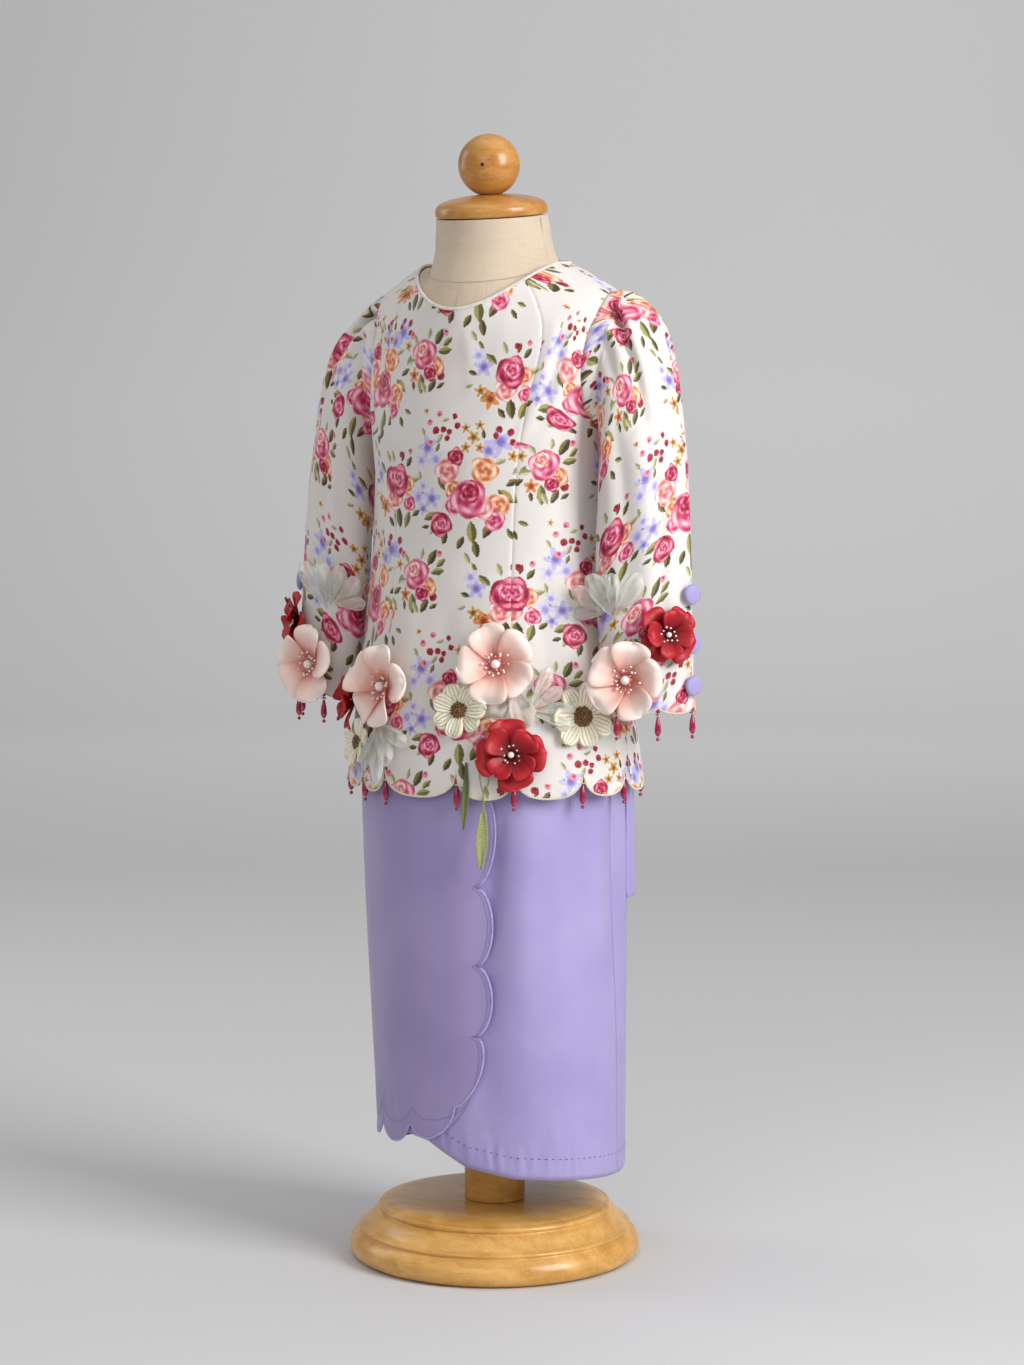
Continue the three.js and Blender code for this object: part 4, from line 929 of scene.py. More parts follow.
# The red darkens towards each petal's root: partly the cloth's own colour, partly painted shade at the bloom's heart.
RED_STOPS_WITH_ROOT_SHADE = [(0.0, "3d0208"), (0.2, "80050f"), (0.45, "a80617"), (0.85, "bd0a1b"), (1.0, "c01122")]
BLUSH_PETAL = make_petal("blush_petal", BLUSH_STOPS, "fffaf6", sheen=0.3)
RED_PETAL = make_petal("red_petal", RED_STOPS_WITH_ROOT_SHADE, "c8242f", sheen=0.0)
CREAM_LACE = make_crochet("cream_stitched_petal", "dfd4a8", "f2ebcf", "fffae4", 34.0)
LIME_LACE = make_crochet("lime_lace", "75802f", "b9c063", "dfe29b", 4.2)
PALE_NET = make_net("pale_green_organza", "f3f6ec", 0.32)
BLUSH_NET = make_net("blush_organza", "f5ddd2", 0.36)
NET_RIM = make_thread("organza_rolled_edge", "e6e9da", "f8f8f0", 0.9)
OLIVE_RIBBON = make_satin("olive_ribbon", "4a5228", "626a36", "7f8550", 0.5, 0.5)
LIME_THREAD = make_thread("lime_thread", "93a044", "c3cc7e", 0.8)
CRIMSON_BEAD = make_glossy("crimson_glass", "7d0630", "c21a52", 0.1)
PEARL = make_glossy("pearl_bead", "e6dcd3", "fbf6f0", 0.22, 0.9)
SALMON_BEAD = make_glossy("salmon_bead", "d9766c", "f2b1a2", 0.2)
SILVER = make_glossy("silver_spacer", "b9b4ac", "e8e4dd", 0.22, 0.2, 1.0)
BROWN_BEAD = make_glossy("brown_bead", "2c1708", "9a6a2c", 0.25, 0.6, grain=620.0)
# near-black finish of the disc that stands for the shade inside a drilled hole
HOLE_SHADE_DISC = make_glossy("painted_hole_shade", "1c120a", "2c1d10", 0.8, 0.0)


# ---- stand and form ---------------------------------------------------------------------------
NECK_TOP = np.array([0, -4, 798.5])
HEAD_TILT = math.radians(6)
CAP_HEIGHT, BALL_RADIUS, BALL_SEAT, BALL_STEPS = 16.6, 23.4, 9, 40
# from the floor up: a foot set back, the lower roll, a crisp lip, the hollowed slope, the lip of the plate, its top
BASE_PROFILE = [
    (0, 0), (107, 0), (107, 1.5), (110.2, 1.9), (112.3, 5.5), (112.6, 9.5), (111.7, 13.5), (109.5, 17), (106.6, 19.8),
    (105.1, 20.6), (104.7, 21.4), (105.4, 22.3), (105.2, 23.7), (104, 24.5), (101.6, 25.5), (98.4, 28.4), (95.6, 31.8),
    (92.6, 34.4), (90.2, 35.6), (89.5, 36.5), (90.3, 37.5), (90.3, 39), (89.3, 40.3), (87.4, 41), (85.8, 41.1),
    (84, 41.9), (80, 42.7), (74, 43), (0, 43),
]
CAP_PROFILE = [(0, 0.3), (41, 0.3), (42.6, 2), (42.6, 7), (40, 10.5), (32, 13.8), (20, 15.8), (10, 16.6), (0, 16.6)]


def lean_head(points):
    """Turns a shape made round the z axis to the tilt of the neck and sets it on the neck's top."""
    c, s = math.cos(HEAD_TILT), math.sin(HEAD_TILT)
    turn = np.array([[1, 0, 0], [0, c, -s], [0, s, c]])
    return points @ turn.T + NECK_TOP


def turned_wood(name, node, profile, segments, finish, leant=False):
    points, faces = turned_parts(profile, segments)
    piece = new_piece(name, lean_head(points) if leant else points, faces, finish, "maple")
    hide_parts(node)


def make_stand():
    turned_wood("base_turned", "base", rounded(BASE_PROFILE, 2, 0.4), 128, PALE_MAPLE)
    pole = [(0, 43.3), (23.0, 43.3), (23.4, 44.2), (23.4, 299), (23.0, 299.7), (0, 299.7)]
    turned_wood("pole_turned", "pole", pole, 72, PALE_MAPLE)
    turned_wood("neck_cap_turned", "neck_cap", rounded(CAP_PROFILE, 4, 0.4), 96, MAPLE, True)
    # the ball is cut flat where it sits on the cap
    start = math.asin(BALL_SEAT / BALL_RADIUS)
    turns = [start + (math.pi - start) * k / BALL_STEPS for k in range(BALL_STEPS)]
    lift = CAP_HEIGHT + 0.3 + BALL_RADIUS * math.cos(start)
    ball = [(0, CAP_HEIGHT + 0.3)] + [(BALL_RADIUS * math.sin(t), lift - BALL_RADIUS * math.cos(t)) for t in turns]
    turned_wood("finial_ball_turned", "finial_ball", [*ball, (0, lift + BALL_RADIUS)], 72, MAPLE, True)
    # small drilled hole on the side of the ball that faces the front, shown as a dark disc: painted shade inside the
    # hole
    facing = unit(np.array([0.3, -1.0, -0.04]))
    centre = lean_head(np.array([[0, 0, lift]]))[0]
    hole = Heap()
    hole.add(*turned_parts([(0, -0.2), (1.15, -0.2), (1.35, 0.05), (0, 0.05)], 16))
    hole.piece("ball_hole", [HOLE_SHADE_DISC], "maple", frame_on(centre + facing * (BALL_RADIUS - 0.02), facing))


FORM_EASE = np.array([1.9, 1.6, 1.4, 1.9, 2.2, 2.6, 3, 4.2, 5, 5.7, 8.8, 13])
# centre, height, half width, front, back, tilt of each ring of the neck
NECK_RINGS = np.array([
    (-4, 798.3, 42.2, 42.2, 42.2, 6), (-2, 786, 43.4, 43.4, 43.4, 6),
    (0, 774, 44.8, 46.3, 43.3, 9), (2, 760, 48.8, 55.8, 43.3, 14),
], float)
# height, half width and depth of the form's closed lower end
FORM_END = [(420, 96, 76), (370, 97, 77), (330, 94, 74), (307, 86, 66), (300, 74, 56)]
FORM_COLUMNS = 144


def neck_point(angle, ring):
    angle, ring = paired(angle, ring)
    centre, height, width, front, back, tilt = np.moveaxis(smooth_rows(NECK_RINGS, ring), -1, 0)
    s, c = sin_cos(angle)
    rise = -np.where(c > 0, front, back) * c
    return np.stack([width * s, centre + rise, height + np.tan(np.radians(tilt)) * rise], axis=-1)


def make_form():
    angles = np.linspace(0, 360, FORM_COLUMNS, endpoint=False)
    rings = []
    for ring in np.linspace(0, 3, 22):
        creases = 0.35 * np.sin(angles * 0.12 + ring * 2.4) * drag(ring - 1.2, 1)
        creases += 0.25 * sin_cos(angles * 3 + ring * 60)[0]
        point = neck_point(angles, ring)
        point[:, :2] *= (1 + creases / 60)[:, None]
        rings.append(point)
    # inside the armholes the form lies a little deeper
    side = 90 - angles % 180
    for ring in np.linspace(0, 11, 60):
        ease = np.interp(ring, range(12), FORM_EASE)
        plate = 4 * drag(side, 34) if ARMHOLE_TOP <= ring <= ARMHOLE_BOTTOM else np.zeros(FORM_COLUMNS)
        rings.append(tunic_plain(angles, ring) - tunic_normal(angles, ring) * (ease + plate)[:, None])
    s, c = sin_cos(angles)
    for height, width, depth in FORM_END:
        rings.append(np.stack([width * s, -depth * c, np.full(FORM_COLUMNS, height)], axis=-1))
    grid = np.array(rings)
    rows, columns = grid.shape[:2]
    points = np.concatenate([grid.reshape(-1, 3), [grid[0].mean(axis=0)], [grid[-1].mean(axis=0)]])
    faces = []
    for j in range(columns):
        k = (j + 1) % columns
        for i in range(rows - 1):
            faces.append((i * columns + j, (i + 1) * columns + j, (i + 1) * columns + k, i * columns + k))
        faces.append((rows * columns, j, k))
        faces.append((rows * columns + 1, (rows - 1) * columns + k, (rows - 1) * columns + j))
    form = new_piece("form_linen", points, faces, LINEN, "linen")
    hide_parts("form_torso")
    # seam round the root of the neck and down its sides, as thin cords whose darker colour is painted shade along the
    # seam lines
    turns = np.linspace(0, 360, 120, endpoint=False)
    line = neck_point(turns, 2.86 + 0.05 * sin_cos(turns)[0]) * np.array([1.001, 1.001, 1])
    tube("neck_seam", line, 0.28, SEAM_SHADE_CORD, "linen", 6, True)
    for name, angle in (("neck_side_seam_left", 88), ("neck_side_seam_right", 272)):
        tube(name, neck_point(angle, np.linspace(0.12, 2.8, 24)), 0.25, SEAM_SHADE_CORD, "linen", 6)
    places = np.linspace(0, 0.3, 6)
    front = tunic_plain(1.0, places) - tunic_normal(1.0, places) * 1.6
    line = np.concatenate([neck_point(2.0, np.linspace(2.9, 3.0, 6)), front])
    tube("neck_front_seam", line, 0.25, SEAM_SHADE_CORD, "linen", 6)


# ---- tunic ------------------------------------------------------------------------------------
SEAM_GAP = math.degrees(0.02 / 80)  # half the gap between two panels, in degrees round the body
HEM_REACH = 1.6  # rings over which the hem's scallops build up
MM_A_DEGREE = 1.6  # about the width of a degree round the body


def armhole_angle(ring):
    middle = (ARMHOLE_TOP + ARMHOLE_BOTTOM) / 2
    t = np.clip((ring - middle) / (ARMHOLE_BOTTOM - middle), -1, 1)
    return ARMHOLE_HALF * np.sqrt(1 - t * t)


def princess(ring):
    return np.interp(ring, range(len(PRINCESS)), PRINCESS)


def seam_dip(u, width_mm):
    """Cloth rolls down into the seam at both edges of a panel."""
    edge = np.minimum(u, 1 - u) * width_mm
    return -0.55 * drag(edge, 1.3)


def hem_turns(steps):
    """Directions all round the tunic's hem, as many to each scallop."""
    ends = TUNIC_NOTCHES[1:] + [TUNIC_NOTCHES[0] + 360]
    return np.concatenate([np.linspace(a, b, steps, endpoint=False) for a, b in zip(TUNIC_NOTCHES, ends)])


def panel_columns(from_angle, to_angle, coarse):
    """Places across a panel: even ones, and close ones beside the seams."""
    near = np.array([0, 0.004, 0.009, 0.016, 0.026])
    places = np.concatenate([near, np.linspace(0.04, 0.96, coarse), 1 - near])
    # a column runs into every notch of the hem
    for notch in [a + turn for turn in (-360, 0, 360) for a in TUNIC_NOTCHES]:
        if from_angle + 1.5 < notch < to_angle - 1.5:
            spot = (notch - from_angle) / (to_angle - from_angle)
            places[np.abs(places - spot).argmin()] = spot
    return np.sort(places)


def tunic_panel(name, node, from_edge, to_edge, coarse, offset):
    columns = panel_columns(float(from_edge(HEM_RING)), float(to_edge(HEM_RING)), coarse)
    rings = np.concatenate([np.linspace(0, HEM_RING - 0.6, 92), np.linspace(HEM_RING - 0.55, HEM_RING, 9)])
    grid, level_grid = [], []
    for ring in rings:
        start, end = float(from_edge(ring)) + SEAM_GAP, float(to_edge(ring)) - SEAM_GAP
        angle = start + (end - start) * columns
        pull = np.clip((ring - (HEM_RING - HEM_REACH)) / HEM_REACH, 0, 1)
        at = ring + pull * tunic_scallop(angle)
        grid.append(tunic_point(angle, at, seam_dip(columns, (end - start) * MM_A_DEGREE)))
        level_grid.append(tunic_plain(angle, ring))
    grid = np.array(grid)
    level = int(np.abs(rings - 8).argmin())
    uv = cloth_uv(grid, level_row=level)
    uv[..., 0] = cloth_uv(np.array(level_grid), level_row=level)[..., 0]
    cloth_piece(name, grid, uv, PRINT, "floral_print", node, offset=offset)


def make_tunic():
    front = lambda ring: 90 - armhole_angle(ring)
    back = lambda ring: 90 + armhole_angle(ring)
    seam_right = lambda ring: -princess(ring)
    tunic_panel("tunic_front", "tunic_front_centre", seam_right, princess, 84, (0, 0))
    tunic_panel("tunic_side_left", "tunic_side_front_left", princess, front, 72, (92, 0))
    tunic_panel("tunic_side_right", "tunic_side_front_right", lambda ring: -front(ring), seam_right, 72, (-92, 0))
    tunic_panel("tunic_back_panel", "tunic_back", back, lambda ring: 360 - back(ring), 190, (290, 0))
    turns = np.linspace(0, 360, 200, endpoint=False)
    line = tunic_plain(turns, 0.06) + tunic_normal(turns, 0.06) * 0.35
    binding = tube("neck_binding_cord", line, 1.25, WHITE_EDGE, "piping", 10, True)
    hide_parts("neck_binding")
    turns = hem_turns(28)
    edge = tunic_point(turns, HEM_RING + tunic_scallop(turns), 0.1)
    tube("tunic_hem_piping", edge, 0.85, CREAM_EDGE, "piping", 8, True)


# ---- sleeves ----------------------------------------------------------------------------------
def armhole_point(turn):
    middle = (ARMHOLE_TOP + ARMHOLE_BOTTOM) / 2
    reach = (ARMHOLE_BOTTOM - ARMHOLE_TOP) / 2 + 0.1
    s, c = sin_cos(turn)
    return tunic_point(90 + (ARMHOLE_HALF + 2.2) * s, middle - reach * c, 0.3)


SLEEVE_COLUMNS = 144


def sleeve_grid(scallops=True):
    turns = np.arange(SLEEVE_COLUMNS) * 360 / SLEEVE_COLUMNS
    edge = armhole_point(turns)
    first = sleeve_plain(turns, 0)
    rows = [edge]
    # three rows that swell from the armhole to the sleeve's own head
    for t in (0.25, 0.5, 0.75):
        between = edge * (1 - t) + first * t
        rows.append(between + unit(between - between.mean(axis=0)) * math.sin(math.pi * t) * 1.2)
    arcs = scallop_arc((turns / 360 * SLEEVE_HEM_SCALLOPS) % 1)
    for ring in np.concatenate([np.linspace(0, 9.4, 88), np.linspace(9.5, 10, 8)]):
        point = sleeve_plain(turns, ring)
        if scallops:
            point[:, 2] -= SLEEVE_HEM_DEPTH * arcs * np.clip((ring - 9.2) / 0.8, 0, 1)
        rows.append(point)
    return np.array(rows)


def mirror_x(grid):
    """The other sleeve: mirrored, with its columns turned round so that faces still point out."""
    return grid[:, ::-1] * np.array([-1, 1, 1])


def make_sleeves():
    left, plain = sleeve_grid(), sleeve_grid(False)
    loop = lambda grid: np.concatenate([grid, grid[:, :1]], axis=1)
    # the print is laid out from a column on the sleeve's front
    anchor = SLEEVE_COLUMNS // 6
    for side, grid, straight, column, offset in (
        ("left", left, plain, SLEEVE_COLUMNS - anchor, (-13, 60)),
        ("right", mirror_x(left), mirror_x(plain), anchor, (60, 20)),
    ):
        level = int(len(grid) * 0.55)
        uv = cloth_uv(loop(grid), column, level)
        uv[..., 0] = cloth_uv(loop(straight), column, level)[..., 0]
        sleeve_piece("sleeve_cloth_" + side, grid, uv + np.array(offset), "sleeve_" + side)
        tube("sleeve_hem_piping_" + side, grid[-1] + np.array([0, 0, -0.1]), 0.8, CREAM_EDGE, "piping", 8, True)


def sleeve_piece(name, grid, uv, node):
    """A looped cloth; uv has one column more than the grid, so the print has one seam under the arm."""
    rows, columns = grid.shape[:2]
    points, faces = shell_parts(grid, closed=True)
    flat = uv[:, :-1].reshape(-1, 2)
    piece = new_piece(name, points, faces, PRINT, "floral_print", np.concatenate([flat, flat]))
    # the last column of faces closes the loop, so its far corners take the unrolled place
    mesh = piece.data
    layer = mesh.uv_layers["cloth"].data
    for polygon in mesh.polygons:
        spots = [mesh.loops[k].vertex_index % (rows * columns) for k in polygon.loop_indices]
        places = [spot % columns for spot in spots]
        if max(places) - min(places) > columns // 2:
            for k, spot, place in zip(polygon.loop_indices, spots, places):
                if place < columns // 2:
                    layer[k].uv = tuple(uv[spot // columns, -1] * MM)
    state_cut(np.concatenate([grid, grid[:, :1]], axis=1), node)


# ---- skirt ------------------------------------------------------------------------------------
SKIRT_TOP = 505
SASH_TOP, SASH_END = 468, 283


def skirt_wall(name, node, start, end, start_hem, end_hem, columns):
    grid = []
    for v in np.linspace(0, 1, 100):
        slide = v**1.5
        angle = np.linspace(start + (start_hem - start) * slide, end + (end_hem - end) * slide, columns)
        z = SKIRT_TOP + (skirt_hem(angle) - SKIRT_TOP) * v
        # the last few millimetres roll in
        grid.append(skirt_point(angle, z, -0.5 * drag((1 - v) * 400, 3.0)))
    grid = np.array(grid)
    cloth_piece(name, grid, cloth_uv(grid), LILAC_SATIN, "lilac_satin", node)


def scalloped(rows, bulge_angle, bulge_z, segments):
    """A border of scallops through its notches, bulging by so much in direction and downwards."""
    line = []
    for (a0, z0), (a1, z1) in zip(rows, rows[1:]):
        for k in range(segments):
            t = k / segments
            arc = scallop_arc(t)
            line.append((a0 + (a1 - a0) * t + bulge_angle * arc, z0 + (z1 - z0) * t - bulge_z * arc))
    return np.array([*line, rows[-1]], float)


def make_overlap():
    edge, plain_edge = scalloped(OVERLAP_EDGE, 7, 0, 24), scalloped(OVERLAP_EDGE, 0, 0, 24)
    hem = scalloped(OVERLAP_HEM, 0, 19, 24)
    v = np.linspace(0, 1, len(edge))[:, None]
    u = np.concatenate([np.linspace(0, 0.82, 54), np.linspace(0.83, 1, 43)])[None, :]
    across = np.linspace(0, 1, len(hem))
    soft = lambda t: np.clip(t, 0, 1) ** 2 * (3 - 2 * np.clip(t, 0, 1))
    near_edge, near_hem = soft((u - 0.8) / 0.2), soft((v - 0.86) / 0.14)
    straight = OVERLAP_SIDE + (plain_edge[:, 0:1] - OVERLAP_SIDE) * u
    angle = straight + (edge[:, 0:1] - plain_edge[:, 0:1]) * near_edge
    smooth_low = OVERLAP_HEM[0][1] + (OVERLAP_HEM[-1][1] - OVERLAP_HEM[0][1]) * u**3
    levels = (SKIRT_TOP - plain_edge[:, 1:2]) / (SKIRT_TOP - plain_edge[-1, 1])
    z = SKIRT_TOP + (smooth_low - SKIRT_TOP) * levels
    z = z + (np.interp(u[0], across, hem[:, 1])[None, :] - smooth_low) * near_hem
    lift = LAYER + 0.9 + 0.8 * near_edge * np.clip(v * 2 - 0.6, 0, 1)
    drape = skirt_drape(angle, z) * np.clip((1 - u) * 2.0, 0.35, 1)
    grid = skirt_plain(angle, z) + skirt_normal(angle, z) * (drape + lift)[..., None]
    # the overlap wears the darker copy of the satin, which is painted shade
    cloth_piece("overlap_panel", grid, cloth_uv(grid), LILAC_SATIN_SHADED, "lilac_satin", "skirt_overlap")
    border = np.concatenate([grid[10:, -1], grid[-1, ::-1][1:]])
    tube("overlap_edge_piping", border, 0.95, LILAC_EDGE, "lilac_satin", 8)
    return grid


def make_sash():
    rows = []
    u = np.linspace(0, 1, 18)
    for v in np.linspace(0, 1, 60):
        z = SASH_TOP + (SASH_END - SASH_TOP) * v
        off = 2.0 + (1.4 + 6.5 * u) * v**0.8 + 0.6 * np.sin(u * 5 + v * 6) * v
        angle = 103 + 18 * u
        rows.append(skirt_plain(angle, z) + skirt_normal(angle, z) * off[:, None])
    grid = np.array(rows)
    cloth_piece("sash_tail_cloth", grid, cloth_uv(grid), LILAC_SATIN, "lilac_satin", "sash_tail", 1.0)
    edge = np.concatenate([grid[:, 0], grid[-1, 1:], grid[::-1, -1][1:]])
    tube("sash_edge", edge, 0.6, LILAC_EDGE, "lilac_satin", 6)


def make_skirt():
    """Makes the skirt and returns the grid of its overlap for the stitches."""
    skirt_wall("skirt_back_panel", "skirt_back", 84.2, 262, 98.2, 262, 160)
    skirt_wall("skirt_front_panel", "skirt_under_front", -97.8, 84, -97.8, 98, 180)
    overlap = make_overlap()
    make_sash()
    return overlap


# ---- petals, blooms and daisies ---------------------------------------------------------------
def petal_grid(length, half_width, cup, curl, ruffle, phase, root=0.16, rows=17, columns=15):
    """A petal that grows along +x from its root, spoon shaped with a rolled rim; z is up off the bloom."""
    v = np.concatenate([np.linspace(0, 0.78, rows - 7), [0.84, 0.89, 0.93, 0.96, 0.98, 0.993, 1.0]])[:, None]
    u = np.linspace(-1, 1, columns)[None, :]
    shape = root * (1 - v) ** 2 + 1.5 * v**0.95 * np.sqrt(np.clip(1 - v**3.2, 0, 1))
    y = half_width * np.clip(shape, 0.015, 1.2) * u
    x = length * (0.03 + 0.97 * v) * (1 + 0.03 * np.sin(2.2 * u + phase) * v)
    bowl = cup * np.sin(np.clip(v, 0, 1) * math.pi * 0.5) ** 1.6
    spoon = 0.55 * cup * (u**2) * np.sin(math.pi * np.clip(v * 0.85, 0, 1))
    side_roll = 0.7 * np.clip((np.abs(u) - 0.72) / 0.28, 0, 1) ** 2 * np.clip(v * 2 - 0.5, 0, 1)
    roll = curl * (np.clip((v - 0.74) / 0.26, 0, 1) ** 2 + side_roll)
    wave = ruffle * np.sin(2.4 * u + phase) * v**2 + ruffle * 0.3 * np.sin(5 * u + 3 * v + phase) * v
    return np.stack([x + 0 * y, y, bowl + spoon - roll + wave], axis=-1)


def turn_z(grid, turn):
    c, s = math.cos(turn), math.sin(turn)
    return grid @ np.array([[c, -s, 0], [s, c, 0], [0, 0, 1]]).T


def tilt_petal(grid, twist, lift):
    """Rolls a petal about its own length and raises its tip."""
    c, s = math.cos(twist), math.sin(twist)
    grid = grid @ np.array([[1, 0, 0], [0, c, -s], [0, s, c]]).T
    c, s = math.cos(lift), math.sin(lift)
    return grid @ np.array([[c, 0, -s], [0, 1, 0], [s, 0, c]]).T


def petal_uv(grid):
    rows, columns = grid.shape[:2]
    v, u = np.meshgrid(np.linspace(0, 1, rows), np.linspace(-1, 1, columns), indexing="ij")
    flat = np.stack([v, u * 0.5], axis=-1).reshape(-1, 2)
    return np.concatenate([flat, flat])


def about(value, share):
    """The value, or a little more or less of it."""
    return value * (1 + rng.uniform(-share, share))


def add_petal(heap, grid, wall):
    points, faces = shell_parts(grid, wall)
    heap.add(points, [f[::-1] for f in faces], petal_uv(grid))


def add_petals(heap, count, length, half_width, cup, curl, ruffle, lift, base_z, start, wall, twist):
    """A row of petals round the z axis, each a little higher than its neighbour."""
    for k in range(count):
        sizes = about(length, 0.06), about(half_width, 0.06), about(cup, 0.15)
        grid = petal_grid(*sizes, curl, ruffle, rng.uniform(0, 6.28))
        grid = tilt_petal(grid, twist + rng.uniform(-0.05, 0.05), lift + rng.uniform(-0.06, 0.06))
        grid = turn_z(grid, start + 2 * math.pi * k / count + rng.uniform(-0.08, 0.08))
        grid[..., 2] += base_z + 0.35 * (k * 2 % count)
        add_petal(heap, grid, wall)


def add_stamens(heap, count, spread, height, bead, base_z, slot_bead):
    """Bent threads round the z axis, each with a bead at its tip."""
    for k in range(count):
        turn = 2 * math.pi * k / count + rng.uniform(-0.2, 0.2)
        reach = spread * rng.uniform(0.55, 1.0)
        tip = np.array([reach * math.cos(turn), reach * math.sin(turn), base_z + height * rng.uniform(0.75, 1.1)])
        root = np.array([0.25 * reach * math.cos(turn), 0.25 * reach * math.sin(turn), base_z])
        middle = (tip + root) / 2 + np.array([0, 0, 0.8])
        path = [root * (1 - t) ** 2 + 2 * middle * t * (1 - t) + tip * t**2 for t in (0, 0.34, 0.67, 1)]
        heap.add(*tube_parts(path, 0.24, 5), slot=1)
        heap.add(*ball_parts(tip, bead * rng.uniform(0.85, 1.15), 10, 6), slot=slot_bead)


def tunic_seat(angle, z, off=1.2):
    """A frame on the tunic's cloth at a height, for what is sewn on there."""
    ring = tunic_ring_at(angle, z)
    away = tunic_normal(angle, ring)
    return frame_on(tunic_plain(angle, ring) + away * off, away)


def tunic_ring_at(angle, z):
    """The ring of the tunic's form that passes that height in that direction."""
    low, high = 0.0, len(TUNIC_RINGS) - 1.0
    for _ in range(30):
        middle = (low + high) / 2
        if tunic_plain(angle, middle)[2] > z:
            low = middle
        else:
            high = middle
    return (low + high) / 2


def bloom(name, node, slot, place, flip, petals, finish, ball, stamens, crown, crown_finish):
    """Rows of petals round a heart: one large pearl on a turned crown among beaded threads."""
    heap = Heap()
    for row in petals:
        add_petals(heap, *row)
    heap.mended_piece(name, [finish], slot, place, flip, node)
    heart = Heap()
    heart.add(*ball_parts(*ball))
    for row in stamens:
        add_stamens(heart, *row)
    heart.add(*turned_parts(crown, 16), slot=1)
    heart.mended_piece(name + "_heart", [PEARL, crown_finish], slot, place, flip)


def blush_bloom(name, node, place, r, start, flip=False):
    petals = [(5, r * 1.02, r * 0.6, r * 0.36, r * 0.14, 0.6, 0.0, 1.5, start, 0.6, 0.12)]
    ball = ((0, 0, 7.0), r * 0.125, 20, 12)
    stamens = [(14, r * 0.4, 5.0, 1.0, 3.4, 0), (9, r * 0.28, 4.2, 0.85, 3.2, 1)]
    crown = [(0, 2.0), (r * 0.17, 2.4), (r * 0.14, 4.2), (0, 5.6)]
    bloom(name, node, "blush_petal", place, flip, petals, BLUSH_PETAL, ball, stamens, crown, SALMON_BEAD)


def red_bloom(name, node, place, r, start, flip=False):
    petals = [
        (4, r * 1.02, r * 0.6, r * 0.2, r * 0.12, 0.9, 0.0, 1.3, start, 0.6, 0.1),
        (4, r * 0.86, r * 0.48, r * 0.34, r * 0.1, 0.7, 0.12, 2.6, start + 0.75, 0.55, 0.14),
    ]
    ball = ((0, 0, 6.2), r * 0.1, 18, 10)
    stamens = [(10, r * 0.36, 4.8, 0.85, 3.0, 0)]
    crown = [(0, 2.0), (r * 0.15, 2.4), (r * 0.12, 4.2), (0, 5.2)]
    bloom(name, node, "red_petal", place, flip, petals, RED_PETAL, ball, stamens, crown, RED_PETAL)


SIZES = ("Length", "Width", "Height")
SMALL_BALLS = {"bead": (10, 6), "stitch": (6, 5)}  # segments and rings of each


def repeat_tree(name, item):
    """Sets a small bead or stitch on every point of a mesh, lying along the point's own direction."""
    tree = bpy.data.node_groups.new(name, "GeometryNodeTree")
    face, links = tree.interface, tree.links
    face.new_socket("Geometry", in_out="INPUT", socket_type="NodeSocketGeometry")
    for label in SIZES:
        face.new_socket(label, in_out="INPUT", socket_type="NodeSocketFloat")
    face.new_socket("Finish", in_out="INPUT", socket_type="NodeSocketMaterial")
    face.new_socket("Geometry", in_out="OUTPUT", socket_type="NodeSocketGeometry")

    def add(kind, **inputs):
        node = tree.nodes.new(kind)
        for label, value in inputs.items():
            if isinstance(value, bpy.types.NodeSocket):
                links.new(value, node.inputs[label])
            else:
                node.inputs[label].default_value = value
        return node

    def stored(label):
        node = add("GeometryNodeInputNamedAttribute", Name=label)
        node.data_type = "FLOAT_VECTOR"
        return node.outputs["Attribute"]

    given = add("NodeGroupInput").outputs
    segments, rings = SMALL_BALLS[item]
    shape = add("GeometryNodeMeshUVSphere", Segments=segments, Rings=rings, Radius=0.5)
    first = add("FunctionNodeAlignRotationToVector", Vector=stored("along"))
    first.axis = "X"
    second = add("FunctionNodeAlignRotationToVector", Rotation=first.outputs[0], Vector=stored("away"))
    second.axis, second.pivot_axis = "Z", "X"
    size = add("ShaderNodeCombineXYZ", X=given["Length"], Y=given["Width"], Z=given["Height"])
    spread = add("GeometryNodeInstanceOnPoints", Points=given["Geometry"], Instance=shape.outputs["Mesh"])
    links.new(second.outputs[0], spread.inputs["Rotation"])
    links.new(size.outputs[0], spread.inputs["Scale"])
    real = add("GeometryNodeRealizeInstances", Geometry=spread.outputs[0])
    paint = add("GeometryNodeSetMaterial", Geometry=real.outputs[0], Material=given["Finish"])
    smooth, end = add("GeometryNodeSetShadeSmooth"), add("NodeGroupOutput")
    links.new(paint.outputs[0], smooth.inputs[0])
    links.new(smooth.outputs[0], end.inputs[0])
    return tree


TREES = {}


def repeat(name, item, points, along, away, size, material):
    """Beads or stitches at points, realised as one plain mesh."""
    if item not in TREES:
        TREES[item] = repeat_tree("repeat_" + item, item)
    mesh = bpy.data.meshes.new(name + "_points")
    mesh.from_pydata((np.asarray(points) * MM).tolist(), [], [])
    for label, values in (("along", along), ("away", away)):
        store = mesh.attributes.new(label, "FLOAT_VECTOR", "POINT")
        store.data.foreach_set("vector", np.asarray(values, float).ravel())
    carrier = put_in_scene(name + "_points", mesh)
    modifier = carrier.modifiers.new("repeat", "NODES")
    modifier.node_group = TREES[item]
    sockets = {s.name: s.identifier for s in TREES[item].interface.items_tree if s.in_out == "INPUT"}
    for label, value in zip(SIZES, size):
        modifier[sockets[label]] = value * MM
    modifier[sockets["Finish"]] = material
    ready = carrier.evaluated_get(bpy.context.evaluated_depsgraph_get())
    made = bpy.data.meshes.new_from_object(ready)
    piece = put_in_scene(name, made)
    bpy.data.objects.remove(carrier)
    if not made.materials:
        made.materials.append(material)
    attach(piece, BODY)


